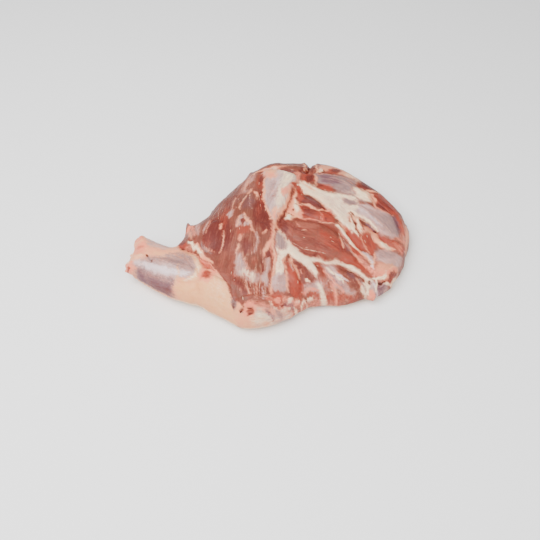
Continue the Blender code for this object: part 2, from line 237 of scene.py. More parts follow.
# Patches in the order they are laid. area: softness and outline. line: width and points.
# spot: half-length, half-width and turn, and place. A last number is a height of its own.
PATCHES = [
    # long head, the broad brown-red muscle beside the shank
    ("area", "marble", 0.3, 14, [(-104, -10), (-60, 45), (-25, 90), (-12, 60), (-4, 0), (0, -45),
     (-40, -45), (-75, -50)]),
    ("area", "brown", 0.4, 14, [(-104, -10), (-60, 45), (-25, 90), (-12, 60), (-4, 0), (0, -45),
     (-40, -45), (-75, -50)]),
    ("area", "lilac", 0.3, 12, [(-104, -24), (-104, 0), (-90, 14), (-80, 10), (-80, -12),
     (-86, -26)]),
    ("line", "peach", 0.5, 5, [(-101, -4), (-98, -16), (-94, -28)]),
    ("line", "salmon", 0.5, 5, [(-96, 4), (-93, -10), (-90, -24)]),
    ("line", "silver", 0.4, 5, [(-88, 4), (-86, -10), (-86, -24)]),
    ("area", "dark_muscle_and_shade", 0.35, 12, [(-84, 10), (-62, 50), (-42, 74), (-38, 40), (-50, 0), (-52, -50),
     (-74, -48), (-80, -20)]),
    ("spot", "dark_muscle_and_shade", 1, (22, 11, 82), (-69, -25)),
    ("spot", "dark_muscle_and_shade", 0.8, (12, 8, 70), (-62, -40)),
    ("spot", "dark_muscle_and_shade", 0.7, (20, 7, 88), (-51, -28)),
    ("spot", "bright", 0.4, (24, 5, 85), (-55, -4)),
    ("spot", "bright", 0.35, (14, 7, 60), (-78, -40)),
    ("line", "silver", 0.5, 3, [(-80, -26), (-78, -16), (-75, -4)]),
    ("line", "peach", 0.35, 3, [(-73, -2), (-74, -14), (-76, -24)]),
    ("spot", "peach", 0.6, (6, 2.6, 85), (-58.5, -15)),
    ("line", "peach", 0.6, 2.4, [(-55, -22), (-54.5, -32), (-56, -42), (-59, -50)]),
    ("line", "peach", 0.35, 4, [(-80, -42), (-72, -47), (-64, -50)]),
    ("line", "lilac", 0.4, 5, [(-82, -34), (-78, -44), (-70, -52)]),
    ("spot", "silver", 0.75, (5.5, 3, 90), (-48, 4)),
    ("line", "peach", 0.4, 2.5, [(-46, 10), (-45, 24), (-42, 38)]),
    ("area", "brown", 0.9, 9, [(-38, -6), (-40, 12), (-36, 30), (-28, 44), (-20, 42), (-17, 26),
     (-19, 0), (-26, -4)]),
    ("area", "purple", 0.4, 10, [(-34, 10), (-34, 30), (-24, 40), (-18, 26), (-20, 10)]),
    ("line", "peach", 0.7, 2.2, [(-37, 10), (-35, 20), (-31, 30), (-29, 36)]),
    ("line", "silver", 0.25, 3, [(-26, 36), (-24, 26), (-25, 14)]),
    ("area", "silver", 0.45, 10, [(-38, 44), (-34, 60), (-28, 76), (-18, 78), (-19, 62),
     (-24, 48), (-31, 42)]),
    ("line", "peach", 0.4, 5, [(-34, 48), (-30, 60), (-26, 72)]),
    ("line", "silver", 0.4, 5, [(-41, 62), (-34, 76), (-26, 88)]),
    ("spot", "brown", 0.6, (9, 4, 60), (-24, 56)),
    ("line", "peach", 0.85, 4, [(-20, 42), (-16, 38), (-14, 30), (-13, 22)]),
    ("spot", "peach", 0.6, (5, 2, 60), (-25, 44)),
    ("area", "bright", 0.6, 7, [(-18, 56), (-14, 72), (-6, 74), (-4, 60), (-6, 46), (-14, 46)]),
    ("spot", "dark_muscle_and_shade", 0.8, (8, 5, 70), (-8, 65)),
    ("area", "dark_muscle_and_shade", 0.8, 8, [(-18, 24), (-12, 40), (-8, 44), (-7, 20), (-2, 2), (3, -14),
     (1, -26), (-10, -24), (-20, -14), (-22, 2)]),
    ("spot", "bright", 0.35, (22, 4, 84), (-12, 14)),
    ("line", "peach", 0.9, 2, [(-8, 42), (-7, 26), (-5, 12), (-3, 2), (1, -8)]),
    ("area", "bright", 0.55, 6, [(-39, -18), (-30, -14), (-24, -20), (-24, -28), (-34, -32),
     (-40, -26)]),
    ("area", "silver", 0.6, 6, [(-40, -6), (-37, 0), (-33, 1), (-28, -4), (-24, -11), (-22, -16),
     (-28, -16), (-36, -14), (-40, -16)]),
    ("line", "peach", 0.8, 2.4, [(-37, 1), (-38, -8), (-39, -16)]),
    ("line", "peach", 0.8, 3, [(-32, 2), (-29, -6), (-26, -10), (-23, -16)]),
    ("spot", "dark_muscle_and_shade", 0.7, (4, 3, 80), (-32, -8)),
    ("spot", "peach", 0.5, (5, 2.4, 80), (-35, -32)),
    ("line", "peach", 0.7, 3, [(-38, -40), (-37, -46), (-40, -52)]),
    ("line", "silver", 0.6, 3.5, [(-17, -26), (-14.5, -36), (-15, -46), (-18, -55)]),
    ("line", "peach", 0.6, 3, [(-24, -14), (-22, -22), (-19, -26)]),
    ("spot", "peach", 0.5, (5, 2, 70), (-6, -27)),
    ("area", "dark_muscle_and_shade", 0.65, 8, [(-34, -36), (-26, -34), (-20, -44), (-24, -58), (-34, -54)]),
    ("area", "brown", 0.6, 8, [(-12, -30), (-4, -30), (-2, -42), (-8, -52), (-14, -44)]),
    ("area", "marble", 0.65, 14, [(-40, -48), (-30, -52), (-12, -46), (1, -50), (3, -80),
     (0, -112), (-14, -117), (-34, -104), (-42, -78)]),
    ("line", "peach", 0.8, 5, [(2, -38), (-2, -44), (-6, -50), (-7, -58)]),
    ("area", "silver", 0.6, 7, [(-40, -50), (-35, -53), (-32, -60), (-30, -70), (-28, -82),
     (-36, -84), (-41, -68)]),
    ("area", "silver", 0.55, 7, [(-36, -64), (-26, -68), (-20, -78), (-10, -80), (-2, -84),
     (-3, -94), (-12, -90), (-16, -96), (-26, -92), (-37, -84)]),
    ("area", "cream", 0.6, 7, [(-36, -78), (-29, -76), (-22, -79), (-17, -82), (-18, -90),
     (-20, -97), (-24, -90), (-33, -84)]),
    ("line", "silver", 0.7, 6, [(-2, -60), (-3, -72), (-6, -84), (-4, -98)]),
    ("line", "silver", 0.5, 4, [(-36, -56), (-38, -70), (-40, -86)]),
    ("line", "salmon", 0.5, 4, [(-30, -62), (-27, -70), (-24, -76)]),
    ("area", "brown", 0.9, 6, [(-27, -57), (-14, -55), (-8, -62), (-9, -75), (-22, -77),
     (-28, -68)]),
    ("spot", "bright", 0.4, (8, 4, 80), (-18, -66)),
    ("spot", "dark_muscle_and_shade", 0.75, (5, 4, 75), (-2, -55), -0.6),
    ("line", "dark_muscle_and_shade", 0.6, 3, [(-9, -62), (-8, -74), (-11, -84)]),
    ("line", "dark_muscle_and_shade", 0.5, 2.4, [(-24, -84), (-22, -98), (-20, -108)]),
    ("area", "bright", 0.4, 8, [(-44, -78), (-42, -92), (-34, -108), (-24, -116), (-20, -106),
     (-30, -98), (-38, -86)]),
    ("line", "dark_muscle_and_shade", 0.6, 5, [(-40, -88), (-33, -100), (-26, -110)]),
    ("line", "brown", 0.8, 4, [(-42, -96), (-34, -110), (-24, -117)]),
    ("line", "peach", 0.6, 2.4, [(-27, -92), (-25, -102), (-23, -110)]),
    ("line", "peach", 0.5, 2.4, [(-16, -94), (-15, -104), (-14, -113)]),
    ("line", "silver", 0.6, 3, [(-8, -98), (-7, -106), (-6, -114)]),
    ("line", "dark_muscle_and_shade", 0.5, 3, [(-11, -96), (-11, -106), (-10, -113)]),
    ("line", "peach", 0.9, 3.5, [(5, -12), (4, -26), (3, -40), (5, -54), (5, -70), (2, -88),
     (0, -106)]),
    ("line", "salmon", 0.5, 2.5, [(2, -14), (1, -30), (0, -44), (2, -60)]),
    # crescent along the far rim, and the two lobes beside the nick
    ("area", "brown", 0.5, 8, [(-24, 80), (-10, 92), (10, 92), (34, 88), (44, 98), (30, 118),
     (-4, 112)]),
    ("line", "peach", 0.8, 3, [(-26, 76), (-12, 81), (4, 84), (16, 86), (28, 92), (36, 97)]),
    ("area", "brown", 0.4, 5, [(4, 88), (20, 91), (34, 98), (38, 88), (30, 82), (12, 83)]),
    ("area", "purple", 0.5, 6, [(10, 71), (22, 76), (33, 79), (34, 84), (20, 83), (10, 80)]),
    ("area", "salmon", 0.7, 5, [(32, 58), (36, 62), (39, 76), (40, 84), (35, 84), (32, 72)]),
    ("area", "bright", 0.8, 4, [(39, 66), (46, 64), (53, 62), (57, 68), (56, 76), (48, 83),
     (41, 80)]),
    ("spot", "dark_muscle_and_shade", 0.85, (8, 4.5, 70), (51, 71)),
    ("spot", "brown", 0.8, (6, 2.4, 95), (55, 59)),
    # painted shade: the dark lines in the nick and beside it
    ("line", "dark_muscle_and_shade", 0.8, 4, [(40, 80), (41, 90), (42, 98)]),
    ("line", "peach", 0.95, 3, [(44, 88), (45, 100), (45, 112)]),
    ("line", "peach", 0.95, 3, [(61, 84), (61, 98), (60, 112)]),
    ("line", "bright", 0.8, 5, [(47, 84), (49, 96), (51, 110)]),
    ("line", "hole_shade", 0.9, 2.2, [(48, 84), (50, 94), (52, 104), (54, 117)]),
    ("line", "dark_muscle_and_shade", 0.8, 2, [(54, 84), (56, 94), (57, 106)]),
    ("area", "peach", 0.75, 7, [(62, 84), (72, 88), (92, 84), (108, 78), (120, 86), (104, 104),
     (84, 112), (66, 108)]),
    ("area", "bright", 0.8, 5, [(72, 84), (84, 82), (92, 90), (94, 100), (84, 99), (76, 94)]),
    ("spot", "dark_muscle_and_shade", 0.7, (8, 5, 30), (86, 92)),
    ("spot", "brown", 0.9, (4, 2, 75), (69, 88), -0.8),
    ("spot", "cream", 0.7, (6, 3, 80), (65, 90)),
    ("area", "cream", 0.5, 7, [(96, 80), (110, 68), (124, 80), (112, 96), (100, 94)]),
    # silver band of the upper blade
    ("area", "lilac", 0.95, 7, [(58, 82), (60, 64), (66, 58), (84, 56), (100, 52), (112, 62),
     (110, 76), (90, 82), (72, 80)]),
    ("area", "purple", 0.75, 8, [(62, 78), (66, 64), (80, 60), (92, 64), (84, 76), (72, 78)]),
    ("area", "brown", 0.4, 8, [(94, 76), (100, 64), (108, 66), (108, 76)]),
    ("line", "silver", 0.3, 4, [(78, 72), (90, 68), (102, 60)]),
    ("line", "silver", 0.25, 3, [(84, 80), (96, 77), (108, 72)]),
    ("line", "salmon", 0.6, 3, [(62, 79), (74, 80), (86, 79)]),
    ("line", "salmon", 0.5, 3, [(98, 72), (106, 66), (112, 62)]),
    ("line", "peach", 0.6, 3, [(58, 80), (59, 68), (58, 56)]),
    ("area", "bright", 1, 4, [(61, 60), (66, 62), (74, 60), (80, 55), (80, 50), (70, 50),
     (62, 54)]),
    ("spot", "dark_muscle_and_shade", 0.5, (4, 3, 0), (64, 58)),
    # slanting cream band
    ("area", "cream", 0.9, 8, [(37, 64), (34, 54), (40, 43), (48, 39), (54, 35), (62, 30),
     (70, 20), (78, 12), (84, 2), (92, -6), (100, -12), (108, -14), (112, -4), (106, 10),
     (114, 14), (120, 14), (112, 26), (112, 40), (126, 36), (131, 40), (129, 52), (124, 58),
      (112, 62), (102, 54), (84, 49), (70, 47), (58, 54), (52, 60), (44, 64)]),
    ("line", "peach", 0.6, 4, [(42, 60), (50, 54), (57, 46)]),
    ("area", "silver", 0.3, 12, [(60, 44), (74, 28), (86, 14), (98, 2), (104, 6), (98, 20),
     (100, 36), (84, 44)]),
    ("area", "lilac", 0.25, 8, [(70, 26), (72, 14), (78, 10), (80, 20), (76, 28)]),
    ("area", "lilac", 0.4, 10, [(82, 52), (98, 46), (112, 40), (122, 30), (112, 34), (96, 44),
     (84, 48)]),
    ("spot", "lilac", 0.95, (9, 5, -10), (100, 35)),
    ("line", "cream", 0.8, 6, [(62, 47), (78, 42), (92, 44), (106, 42)]),
    ("area", "lilac", 0.7, 5, [(82, 57), (84, 50), (92, 47), (104, 46), (110, 52), (96, 58)]),
    ("line", "lilac", 0.6, 3, [(101, 49), (108, 45), (116, 38), (126, 28)]),
    ("area", "peach", 0.5, 6, [(114, 60), (124, 58), (130, 50), (132, 34), (126, 38), (120, 50)]),
    ("line", "peach", 0.5, 5, [(52, 31), (66, 22), (78, 10)]),
    ("line", "peach", 0.6, 3, [(84, 0), (92, -7), (100, -13)]),
    # silver sheet at the blade's edge
    ("area", "silver", 0.95, 8, [(104, 22), (116, 11), (124, 3), (130, -6), (138, -14),
     (148, -20), (157, -16), (160, 0), (156, 12), (148, 20), (138, 22), (130, 26), (124, 30),
     (112, 32)]),
    ("area", "lilac", 0.75, 9, [(120, 12), (130, 0), (138, -10), (150, -16), (157, -6), (154, 8),
     (142, 16), (130, 22), (120, 24)]),
    ("line", "pale_silver_and_sheen", 0.5, 4, [(110, 26), (124, 12), (138, -4)]),
    ("line", "lilac", 0.6, 3, [(112, 30), (126, 18), (140, 2), (150, -14)]),
    ("area", "lilac", 0.7, 9, [(140, 16), (154, 18), (160, 4), (158, -14), (148, -14), (142, 0)]),
    ("area", "purple", 0.75, 8, [(148, 20), (158, 16), (164, 4), (163, -8), (156, -4), (152, 8)]),
    ("area", "salmon", 0.6, 8, [(150, -20), (160, -16), (165, -4), (166, 10), (171, 8),
     (172, -10), (166, -22)]),
    ("area", "peach", 0.25, 9, [(160, 20), (163, 0), (158, -18), (166, -34), (176, -20),
     (178, 10), (170, 22)]),
    ("area", "lilac", 0.3, 9, [(160, 24), (164, 4), (162, -14), (170, -16), (176, 8), (170, 24)]),
    ("line", "peach", 0.6, 4, [(171, 16), (172, 0), (170, -14), (166, -30)]),
    ("area", "bright", 0.8, 4, [(130, 55), (138, 52), (147, 52), (152, 44), (158, 34), (162, 24),
     (154, 20), (146, 20), (138, 25), (132, 29), (134, 38), (130, 46)]),
    ("area", "bright", 0.8, 4, [(136, 54), (144, 60), (152, 48), (160, 33), (163, 20), (154, 22),
     (144, 31)]),
    ("area", "bright", 0.6, 6, [(158, 24), (164, 16), (169, 3), (168, -8), (161, -2), (157, 12)]),
    ("area", "dark_muscle_and_shade", 0.5, 6, [(134, 50), (142, 50), (150, 38), (156, 28), (148, 23), (140, 27),
     (134, 31), (136, 40)]),
    ("area", "dark_muscle_and_shade", 0.9, 5, [(114, 63), (118, 71), (122, 79), (132, 76), (140, 64), (131, 59),
     (121, 61)]),
    ("line", "peach", 0.8, 4, [(124, 60), (134, 58), (146, 62)]),
    ("line", "peach", 0.75, 3.5, [(130, 54), (133, 44), (131, 34), (133, 26)]),
    ("line", "salmon", 0.5, 3, [(134, 26), (144, 20), (154, 18)]),
    # torn fat and thin red strips between the sheet and the middle
    ("area", "peach", 0.6, 8, [(98, 18), (112, 14), (122, 3), (128, -8), (122, -14), (110, -10),
     (100, -4), (96, 8)]),
    ("line", "cream", 0.9, 3.5, [(98, 20), (104, 19), (112, 14), (120, 7), (127, -1), (132, -8)]),
    ("spot", "brown", 0.9, (8, 3.2, -50), (115, 6), -0.5),
    # painted shade: the dark line and the hole spots in the torn fat
    ("line", "dark_muscle_and_shade", 0.8, 2.2, [(112, 8), (113, 0), (114, -6)]),
    ("line", "brown", 0.9, 2.4, [(100, 16), (104, 6), (105, -4), (108, -12)], -0.8),
    ("line", "brown", 0.7, 1.6, [(99, 12), (98, 2)], -0.5),
    ("line", "cream", 0.9, 3, [(108, 12), (108, 2), (110, -8), (114, -16)]),
    ("line", "cream", 0.9, 3, [(102, 10), (101, 0), (103, -10), (108, -18)]),
    ("line", "purple", 0.95, 2.4, [(117, 6), (122, 1), (126, -4), (129, -8)], -1.5),
    ("spot", "hole_shade", 1, (3, 1.8, -20), (128, -7.5), -3.5),
    ("spot", "hole_shade", 0.8, (2.6, 1.3, -60), (102.5, 17), -1.5),
    ("spot", "hole_shade", 0.6, (3, 1.1, 90), (104.5, 1), -1.5),
    ("area", "bright", 0.9, 4, [(90, -4), (95, -8), (101, -15), (107, -20), (112, -27),
     (112, -35), (106, -35), (100, -30), (94, -20), (90, -11)]),
    ("area", "bright", 0.9, 5, [(111, -10), (114, -13), (121, -11), (123, -20), (127, -26),
     (127, -34), (124, -42), (119, -42), (112, -34), (111, -22)]),
    ("spot", "dark_muscle_and_shade", 0.4, (9, 3.4, -78), (120, -24)),
    ("line", "peach", 0.5, 2, [(112, -10), (111, -20), (115, -30), (119, -42)]),
    ("area", "peach", 0.95, 5, [(124, -8), (130, -11), (133, -19), (142, -27), (150, -35),
     (140, -38), (131, -33), (127, -24), (124, -14)]),
    ("spot", "cream", 0.7, (8, 4, -35), (139, -31)),
    ("area", "bright", 0.85, 5, [(131, -11), (138, -17), (146, -22), (156, -25), (166, -24),
     (165, -33), (158, -36), (150, -33), (142, -27), (134, -19)]),
    ("area", "salmon", 0.5, 6, [(148, -26), (160, -26), (165, -30), (160, -36), (150, -34)]),
    ("area", "silver", 0.8, 8, [(126, -40), (134, -37), (150, -38), (162, -38), (160, -48),
     (152, -56), (138, -58), (126, -54)]),
    ("area", "lilac", 0.7, 8, [(127, -38), (142, -38), (150, -40), (150, -47), (140, -50),
     (130, -50)]),
    ("area", "peach", 0.7, 10, [(126, -56), (140, -56), (152, -54), (156, -60), (146, -70),
     (132, -74), (124, -66)]),
    ("area", "salmon", 0.65, 9, [(106, -56), (120, -62), (134, -66), (140, -72), (128, -76),
     (116, -70), (106, -64)]),
    # oval muscle of the middle
    ("area", "bright", 0.3, 5, [(9, -12), (14, -3), (20, -5), (24, -8), (30, -1), (40, 2),
     (50, -1), (58, -3), (68, -6), (78, -8), (82, -12), (81, -18), (84, -26), (88, -36),
     (92, -44), (98, -50), (106, -56), (114, -63), (122, -74), (112, -75), (104, -67), (96, -62),
      (88, -60), (78, -56), (68, -57), (60, -54), (50, -51), (40, -50), (34, -46), (28, -40),
       (20, -31), (12, -20)]),
    ("spot", "dark_muscle_and_shade", 0.85, (13, 6, 105), (15, -15)),
    ("spot", "dark_muscle_and_shade", 0.4, (14, 7, -20), (34, -20)),
    ("spot", "pale", 0.5, (15, 7, 0), (44, -14)),
    ("spot", "bright", 0.6, (20, 9, -30), (76, -34)),
    ("spot", "dark_muscle_and_shade", 0.35, (18, 6, -30), (84, -40)),
    ("spot", "dark_muscle_and_shade", 0.3, (18, 5, -20), (52, -38)),
    ("area", "bright", 0.7, 6, [(86, -48), (98, -50), (110, -60), (116, -70), (106, -68),
     (94, -60), (84, -57)]),
    ("line", "dark_muscle_and_shade", 0.5, 2.4, [(34, -44.5), (40, -48), (48, -50), (60, -52)]),
    ("line", "peach", 0.5, 1.8, [(38, -24), (40, -23), (42.5, -24.5)]),
    ("line", "salmon", 0.4, 2, [(31, -8), (33, -14), (36, -18)]),
    # right of the oval
    ("area", "purple", 0.35, 7, [(86, -18), (92, -22), (98, -32), (96, -44), (90, -44), (86, -32)]),
    ("area", "salmon", 0.5, 7, [(84, -14), (90, -18), (94, -30), (104, -40), (114, -54),
     (118, -64), (104, -52), (94, -40), (88, -26)]),
    ("line", "peach", 0.8, 2.4, [(85, -20), (86, -30), (87, -42)]),
    ("line", "silver", 0.5, 3, [(90, -30), (95, -40), (101, -50)]),
    ("line", "peach", 0.6, 3, [(96, -40), (102, -48), (110, -56)]),
    ("area", "bright", 0.85, 4, [(94, -8), (101, -13), (108, -19), (113, -27), (111, -34),
     (104, -28), (97, -18)]),
    ("spot", "bright", 0.8, (8, 4, -35), (103, -42)),
    ("area", "peach", 0.55, 6, [(80, -2), (90, -4), (92, -12), (86, -14), (80, -8)]),
    ("line", "cream", 0.95, 4.2, [(80, -6), (86, -10), (91, -16), (96, -25), (102, -33),
     (108, -38)]),
    ("line", "peach", 0.9, 4, [(106, -37), (112, -44), (118, -53), (121, -62)]),
    ("line", "pale_silver_and_sheen", 0.6, 4, [(110, -38), (116, -45), (120, -56), (121, -64)]),
    ("line", "silver", 0.7, 4, [(114, -40), (119, -46), (122, -56)]),
    ("line", "peach", 0.8, 2.6, [(125, -40), (124, -50), (122, -60)]),
    # fat band under the oval, its branches and the long white strip
    ("area", "cream", 0.95, 5, [(10, -18), (8, -26), (7, -40), (8, -54), (7, -70), (6, -82),
     (10, -84), (15, -82), (16, -74), (14, -66), (16, -58), (22, -54), (28, -58), (34, -62),
     (42, -68), (50, -78), (55, -82), (56, -76), (52, -68), (50, -60), (57, -59), (64, -62),
      (72, -64), (79, -62), (88, -64), (98, -70), (106, -74), (114, -79), (120, -82), (121, -77),
       (112, -74), (104, -68), (96, -63), (88, -59), (80, -56), (68, -57), (60, -54), (50, -52),
        (40, -51), (33, -46), (27, -40), (19, -31), (12, -21)]),
    ("area", "silver", 0.85, 5, [(3, -82), (8, -80), (16, -80), (20, -88), (21, -99), (14, -103),
     (4, -102), (1, -96)]),
    ("area", "lilac", 0.95, 7, [(8, -24), (7, -34), (7, -44), (12, -48), (18, -48), (21, -40),
     (17, -34), (12, -26)]),
    ("spot", "lilac", 0.5, (5, 4, 80), (12, -87)),
    ("area", "lilac", 0.5, 6, [(4, -96), (10, -94), (18, -96), (17, -102), (8, -103)]),
    ("line", "lilac", 0.35, 2.5, [(10, -50), (11, -62), (11, -74)]),
    ("line", "peach", 0.7, 3.5, [(18, -76), (20, -88), (21, -100)]),
    ("line", "peach", 0.6, 4, [(17, -58), (16, -66), (18, -74)]),
    ("spot", "brown", 0.9, (3.4, 3, 0), (22, -56)),
    ("area", "bright", 0.95, 4, [(19.5, -62), (24, -60), (27, -72), (32, -86), (42, -94),
     (40, -98), (32, -103), (24, -101), (22, -86), (20, -74)]),
    ("spot", "dark_muscle_and_shade", 0.35, (6, 3, 100), (20, -67)),
    ("spot", "bright", 0.6, (11, 4, 105), (26, -85)),
    ("area", "dark_muscle_and_shade", 0.45, 5, [(28, -60), (34, -62), (42, -70), (50, -82), (50, -90), (40, -90),
     (34, -82), (30, -72)]),
    ("line", "peach", 0.9, 3.6, [(24, -57), (26, -64), (30, -73), (33, -82), (35, -86)]),
    ("line", "silver", 0.5, 2.4, [(22, -58), (24, -68), (27, -78)]),
    ("line", "peach", 0.5, 2, [(36, -72), (37, -80)]),
    ("spot", "cream", 0.8, (2, 1.6, 0), (43.5, -86.5)),
    ("area", "bright", 0.5, 4, [(51, -60), (60, -61), (66, -72), (68, -86), (62, -90), (57, -84),
     (56, -76)]),
    ("area", "silver", 0.75, 6, [(38, -94), (46, -88), (52, -84), (58, -84), (60, -92),
     (56, -97), (46, -95), (40, -97)]),
    ("line", "salmon", 0.6, 3, [(38, -97), (48, -92), (58, -92)]),
    ("area", "silver", 0.8, 7, [(62, -63), (76, -65), (80, -74), (86, -84), (100, -90),
     (90, -94), (76, -90), (68, -80)]),
    ("area", "purple", 0.4, 7, [(66, -72), (74, -74), (80, -84), (90, -88), (80, -90), (70, -84)]),
    ("line", "cream", 0.8, 3, [(64, -66), (72, -72), (79, -79), (87, -85)]),
    ("line", "salmon", 0.6, 3, [(62, -70), (69, -78), (76, -86), (86, -92)]),
    ("area", "dark_muscle_and_shade", 0.2, 6, [(80, -67), (88, -68), (96, -73), (104, -77), (103, -84), (95, -84),
     (86, -78)]),
    ("area", "purple", 0.5, 5, [(90, -69), (98, -72), (102, -78), (96, -80), (90, -76)]),
    ("area", "marble", 0.35, 8, [(62, -68), (80, -68), (100, -80), (108, -92), (98, -102),
     (70, -102), (58, -86)]),
    ("area", "silver", 0.35, 8, [(54, -86), (64, -80), (72, -92), (66, -99), (52, -98)]),
    ("line", "peach", 0.5, 3, [(100, -76), (106, -83), (108, -90)]),
    ("line", "pale_silver_and_sheen", 0.9, 2.4, [(78, -77), (84, -79), (90, -82)]),
    ("area", "cream", 0.85, 5, [(106, -84), (110, -78), (119, -82), (121, -86), (113, -92),
     (107, -91)]),
    ("line", "lilac", 0.5, 2.5, [(104, -76), (108, -82), (112, -88)]),
    # painted shade in the crevice and its two holes
    ("line", "hole_shade", 0.85, 1.7, [(90, -68), (94, -70), (98, -71.5)], -2),
    ("spot", "hole_shade", 0.5, (1.8, 1.2, -30), (108, -76), -1),
    ("spot", "hole_shade", 0.9, (2.4, 1.6, -40), (116.5, -79.5), -2),
    ("area", "salmon", 0.5, 6, [(30, -104), (52, -97), (76, -95), (98, -92), (98, -97),
     (76, -101), (50, -104), (34, -110)]),
    ("line", "bright", 0.7, 5, [(44, -97), (60, -95), (84, -96), (102, -93)]),
    ("line", "cream", 0.8, 2, [(27, -109), (36, -104), (43, -100.5), (50, -97.5)]),
    ("area", "cream", 0.85, 4, [(52, -86), (57, -93), (60, -98), (61, -106), (70, -106),
     (68, -98), (63, -93), (57, -86)]),
    ("line", "salmon", 0.5, 2.5, [(70, -84), (76, -92), (80, -102)]),
    ("line", "peach", 0.6, 1.6, [(75, -88), (79, -95), (82, -104)]),
    ("spot", "bright", 0.6, (6, 4, 15), (27, -110)),
    # blotch and pinkish strip below the marbling
    ("area", "salmon", 0.65, 6, [(1, -104), (12, -106), (26, -104), (34, -106), (26, -112),
     (14, -117), (2, -117), (-4, -112)]),
    ("spot", "bright", 0.8, (7, 6, 10), (8, -109)),
    ("spot", "salmon", 0.8, (4, 3.4, 20), (8, -111)),
    ("spot", "dark_muscle_and_shade", 0.7, (5, 2, 25), (18, -113)),
    ("spot", "purple", 0.5, (6, 3, 15), (24, -110)),
    ("spot", "cream", 0.8, (4, 1.6, 40), (24, -107)),
    ("spot", "cream", 0.7, (3, 1.4, 0), (31, -110)),
    ("line", "cream", 0.6, 2.4, [(0, -114), (4, -118), (14, -116), (24, -112)]),
    ("line", "salmon", 0.4, 3, [(-26, -117), (-14, -118), (0, -117)]),
    ("line", "bright", 0.6, 3, [(-2, -113), (4, -115), (12, -116)]),
    # small red muscle, red band and the salmon fat beside the cleft
    ("area", "bright", 1, 3, [(33, 54), (38, 54), (41, 45), (43, 36), (42, 27), (37, 25),
     (34, 34)]),
    # painted shade under the edge of the cream band
    ("area", "dark_muscle_and_shade", 0.9, 5, [(40, 39), (48, 39), (54, 35), (61, 29), (69, 20), (62, 17),
     (54, 19), (46, 22), (38, 25)]),
    ("area", "bright", 1, 3, [(36, 20), (44, 19), (51, 15), (57, 13), (63, 15), (70, 17),
     (77, 13), (81, 5), (78, -1), (72, -4), (64, -4), (58, 0), (50, -2), (44, 0), (40, 3),
     (37, 10)]),
    ("area", "bright", 0.5, 3, [(33, 50), (38, 52), (41, 44), (42, 33), (39, 27), (35, 33)]),
    ("area", "purple", 0.35, 5, [(44, 38), (54, 35), (66, 22), (56, 22), (46, 26)]),
    ("area", "dark_muscle_and_shade", 0.45, 5, [(38, 18), (46, 17), (54, 12), (58, 6), (54, 1), (46, 1), (41, 6)]),
    ("line", "dark_muscle_and_shade", 0.7, 1.8, [(66, 6), (67, 0), (68, -4)]),
    ("line", "salmon", 0.6, 2, [(60, 12), (62, 4), (62, -2)]),
    ("line", "peach", 0.95, 2.6, [(36, 22), (42, 21.5), (48, 20), (54, 16), (60, 14.5), (67, 17),
     (72, 17)]),
    ("line", "peach", 0.7, 2, [(58, -2), (62, -4.5), (68, -5), (76, -4)]),
    ("line", "salmon", 0.6, 2.4, [(28, -1), (38, 0), (48, -2), (58, -2)]),
    ("area", "peach", 0.95, 3, [(31, 52), (33, 42), (32.5, 32), (35, 22), (37, 10), (41, 3),
     (37, -1), (30, -1), (25, -8), (20, -5), (18, 2), (20, 9), (23, 18), (26, 28), (28, 40),
     (29, 50)]),
    ("area", "cream", 0.9, 4, [(30, 36), (32, 26), (36, 12), (32, 4), (29, 12), (29, 24)]),
    ("area", "salmon", 0.5, 4, [(24, 12), (27, 16), (30, 10), (28, 5), (23, 6)]),
    ("spot", "cream", 0.9, (5, 3, 60), (22.5, -3)),
    ("area", "salmon", 0.45, 5, [(35, 12), (39, 8), (43, 0), (37, -1), (33, 3)]),
    # painted shade in two small holes and a short cut
    ("spot", "hole_shade", 0.9, (2, 1.1, 100), (32, 22), -1.5),
    ("spot", "hole_shade", 0.85, (1.7, 1, 105), (28, 12.5), -1.5),
    ("line", "hole_shade", 0.85, 1.6, [(20.5, 6.5), (24, 4), (28, 2)], -2.5),
    # silver flap over the middle
    ("area", "silver", 0.95, 4, [(-8, 83), (8, 84), (13, 76), (18, 73), (33, 76), (33, 64),
     (29, 54), (25, 44), (22, 32), (18, 20), (14, 9), (9, -2), (5, -11), (2, -7), (-1, 3),
     (-5, 16), (-7, 32), (-7, 50), (-6, 62), (-10, 74)]),
    ("area", "peach", 0.7, 12, [(-10, 84), (8, 83), (10, 74), (6, 64), (0, 58), (-6, 66)]),
    ("area", "fat", 0.5, 11, [(-8, 76), (8, 76), (9, 62), (2, 56), (-6, 62)]),
    ("area", "salmon", 0.5, 11, [(-6, 70), (4, 68), (8, 62), (4, 58), (-4, 62)]),
    ("area", "pale_silver_and_sheen", 0.4, 14, [(0, 56), (8, 66), (18, 62), (14, 46), (10, 30), (4, 22), (0, 36)]),
    ("area", "lilac", 0.55, 12, [(0, 52), (6, 56), (12, 48), (12, 36), (8, 24), (3, 22), (-2, 32)]),
    ("line", "pale_silver_and_sheen", 0.45, 2.4, [(-2, 24), (4, 38), (12, 54)]),
    ("line", "pale_silver_and_sheen", 0.4, 2, [(2, 16), (8, 28), (13, 40)]),
    ("area", "cream", 0.75, 14, [(6, 84), (15, 74), (32, 75), (32, 63), (26, 52), (18, 46),
     (14, 54), (16, 64)]),
    ("line", "peach", 0.8, 3, [(12, 82), (20, 76), (33, 74)]),
    ("area", "cream", 0.5, 10, [(10, 50), (22, 50), (24, 36), (20, 18), (10, 2), (4, 0), (6, 20)]),
    ("line", "salmon", 0.55, 4, [(27, 52), (23, 44), (19, 38), (18, 30)]),
    ("spot", "salmon", 0.5, (7, 4, 65), (18, 39)),
    ("line", "salmon", 0.35, 4, [(24, 34), (21, 22), (17, 12)]),
    ("line", "peach", 0.6, 3, [(25, 40), (22, 26), (18, 14), (11, 4)]),
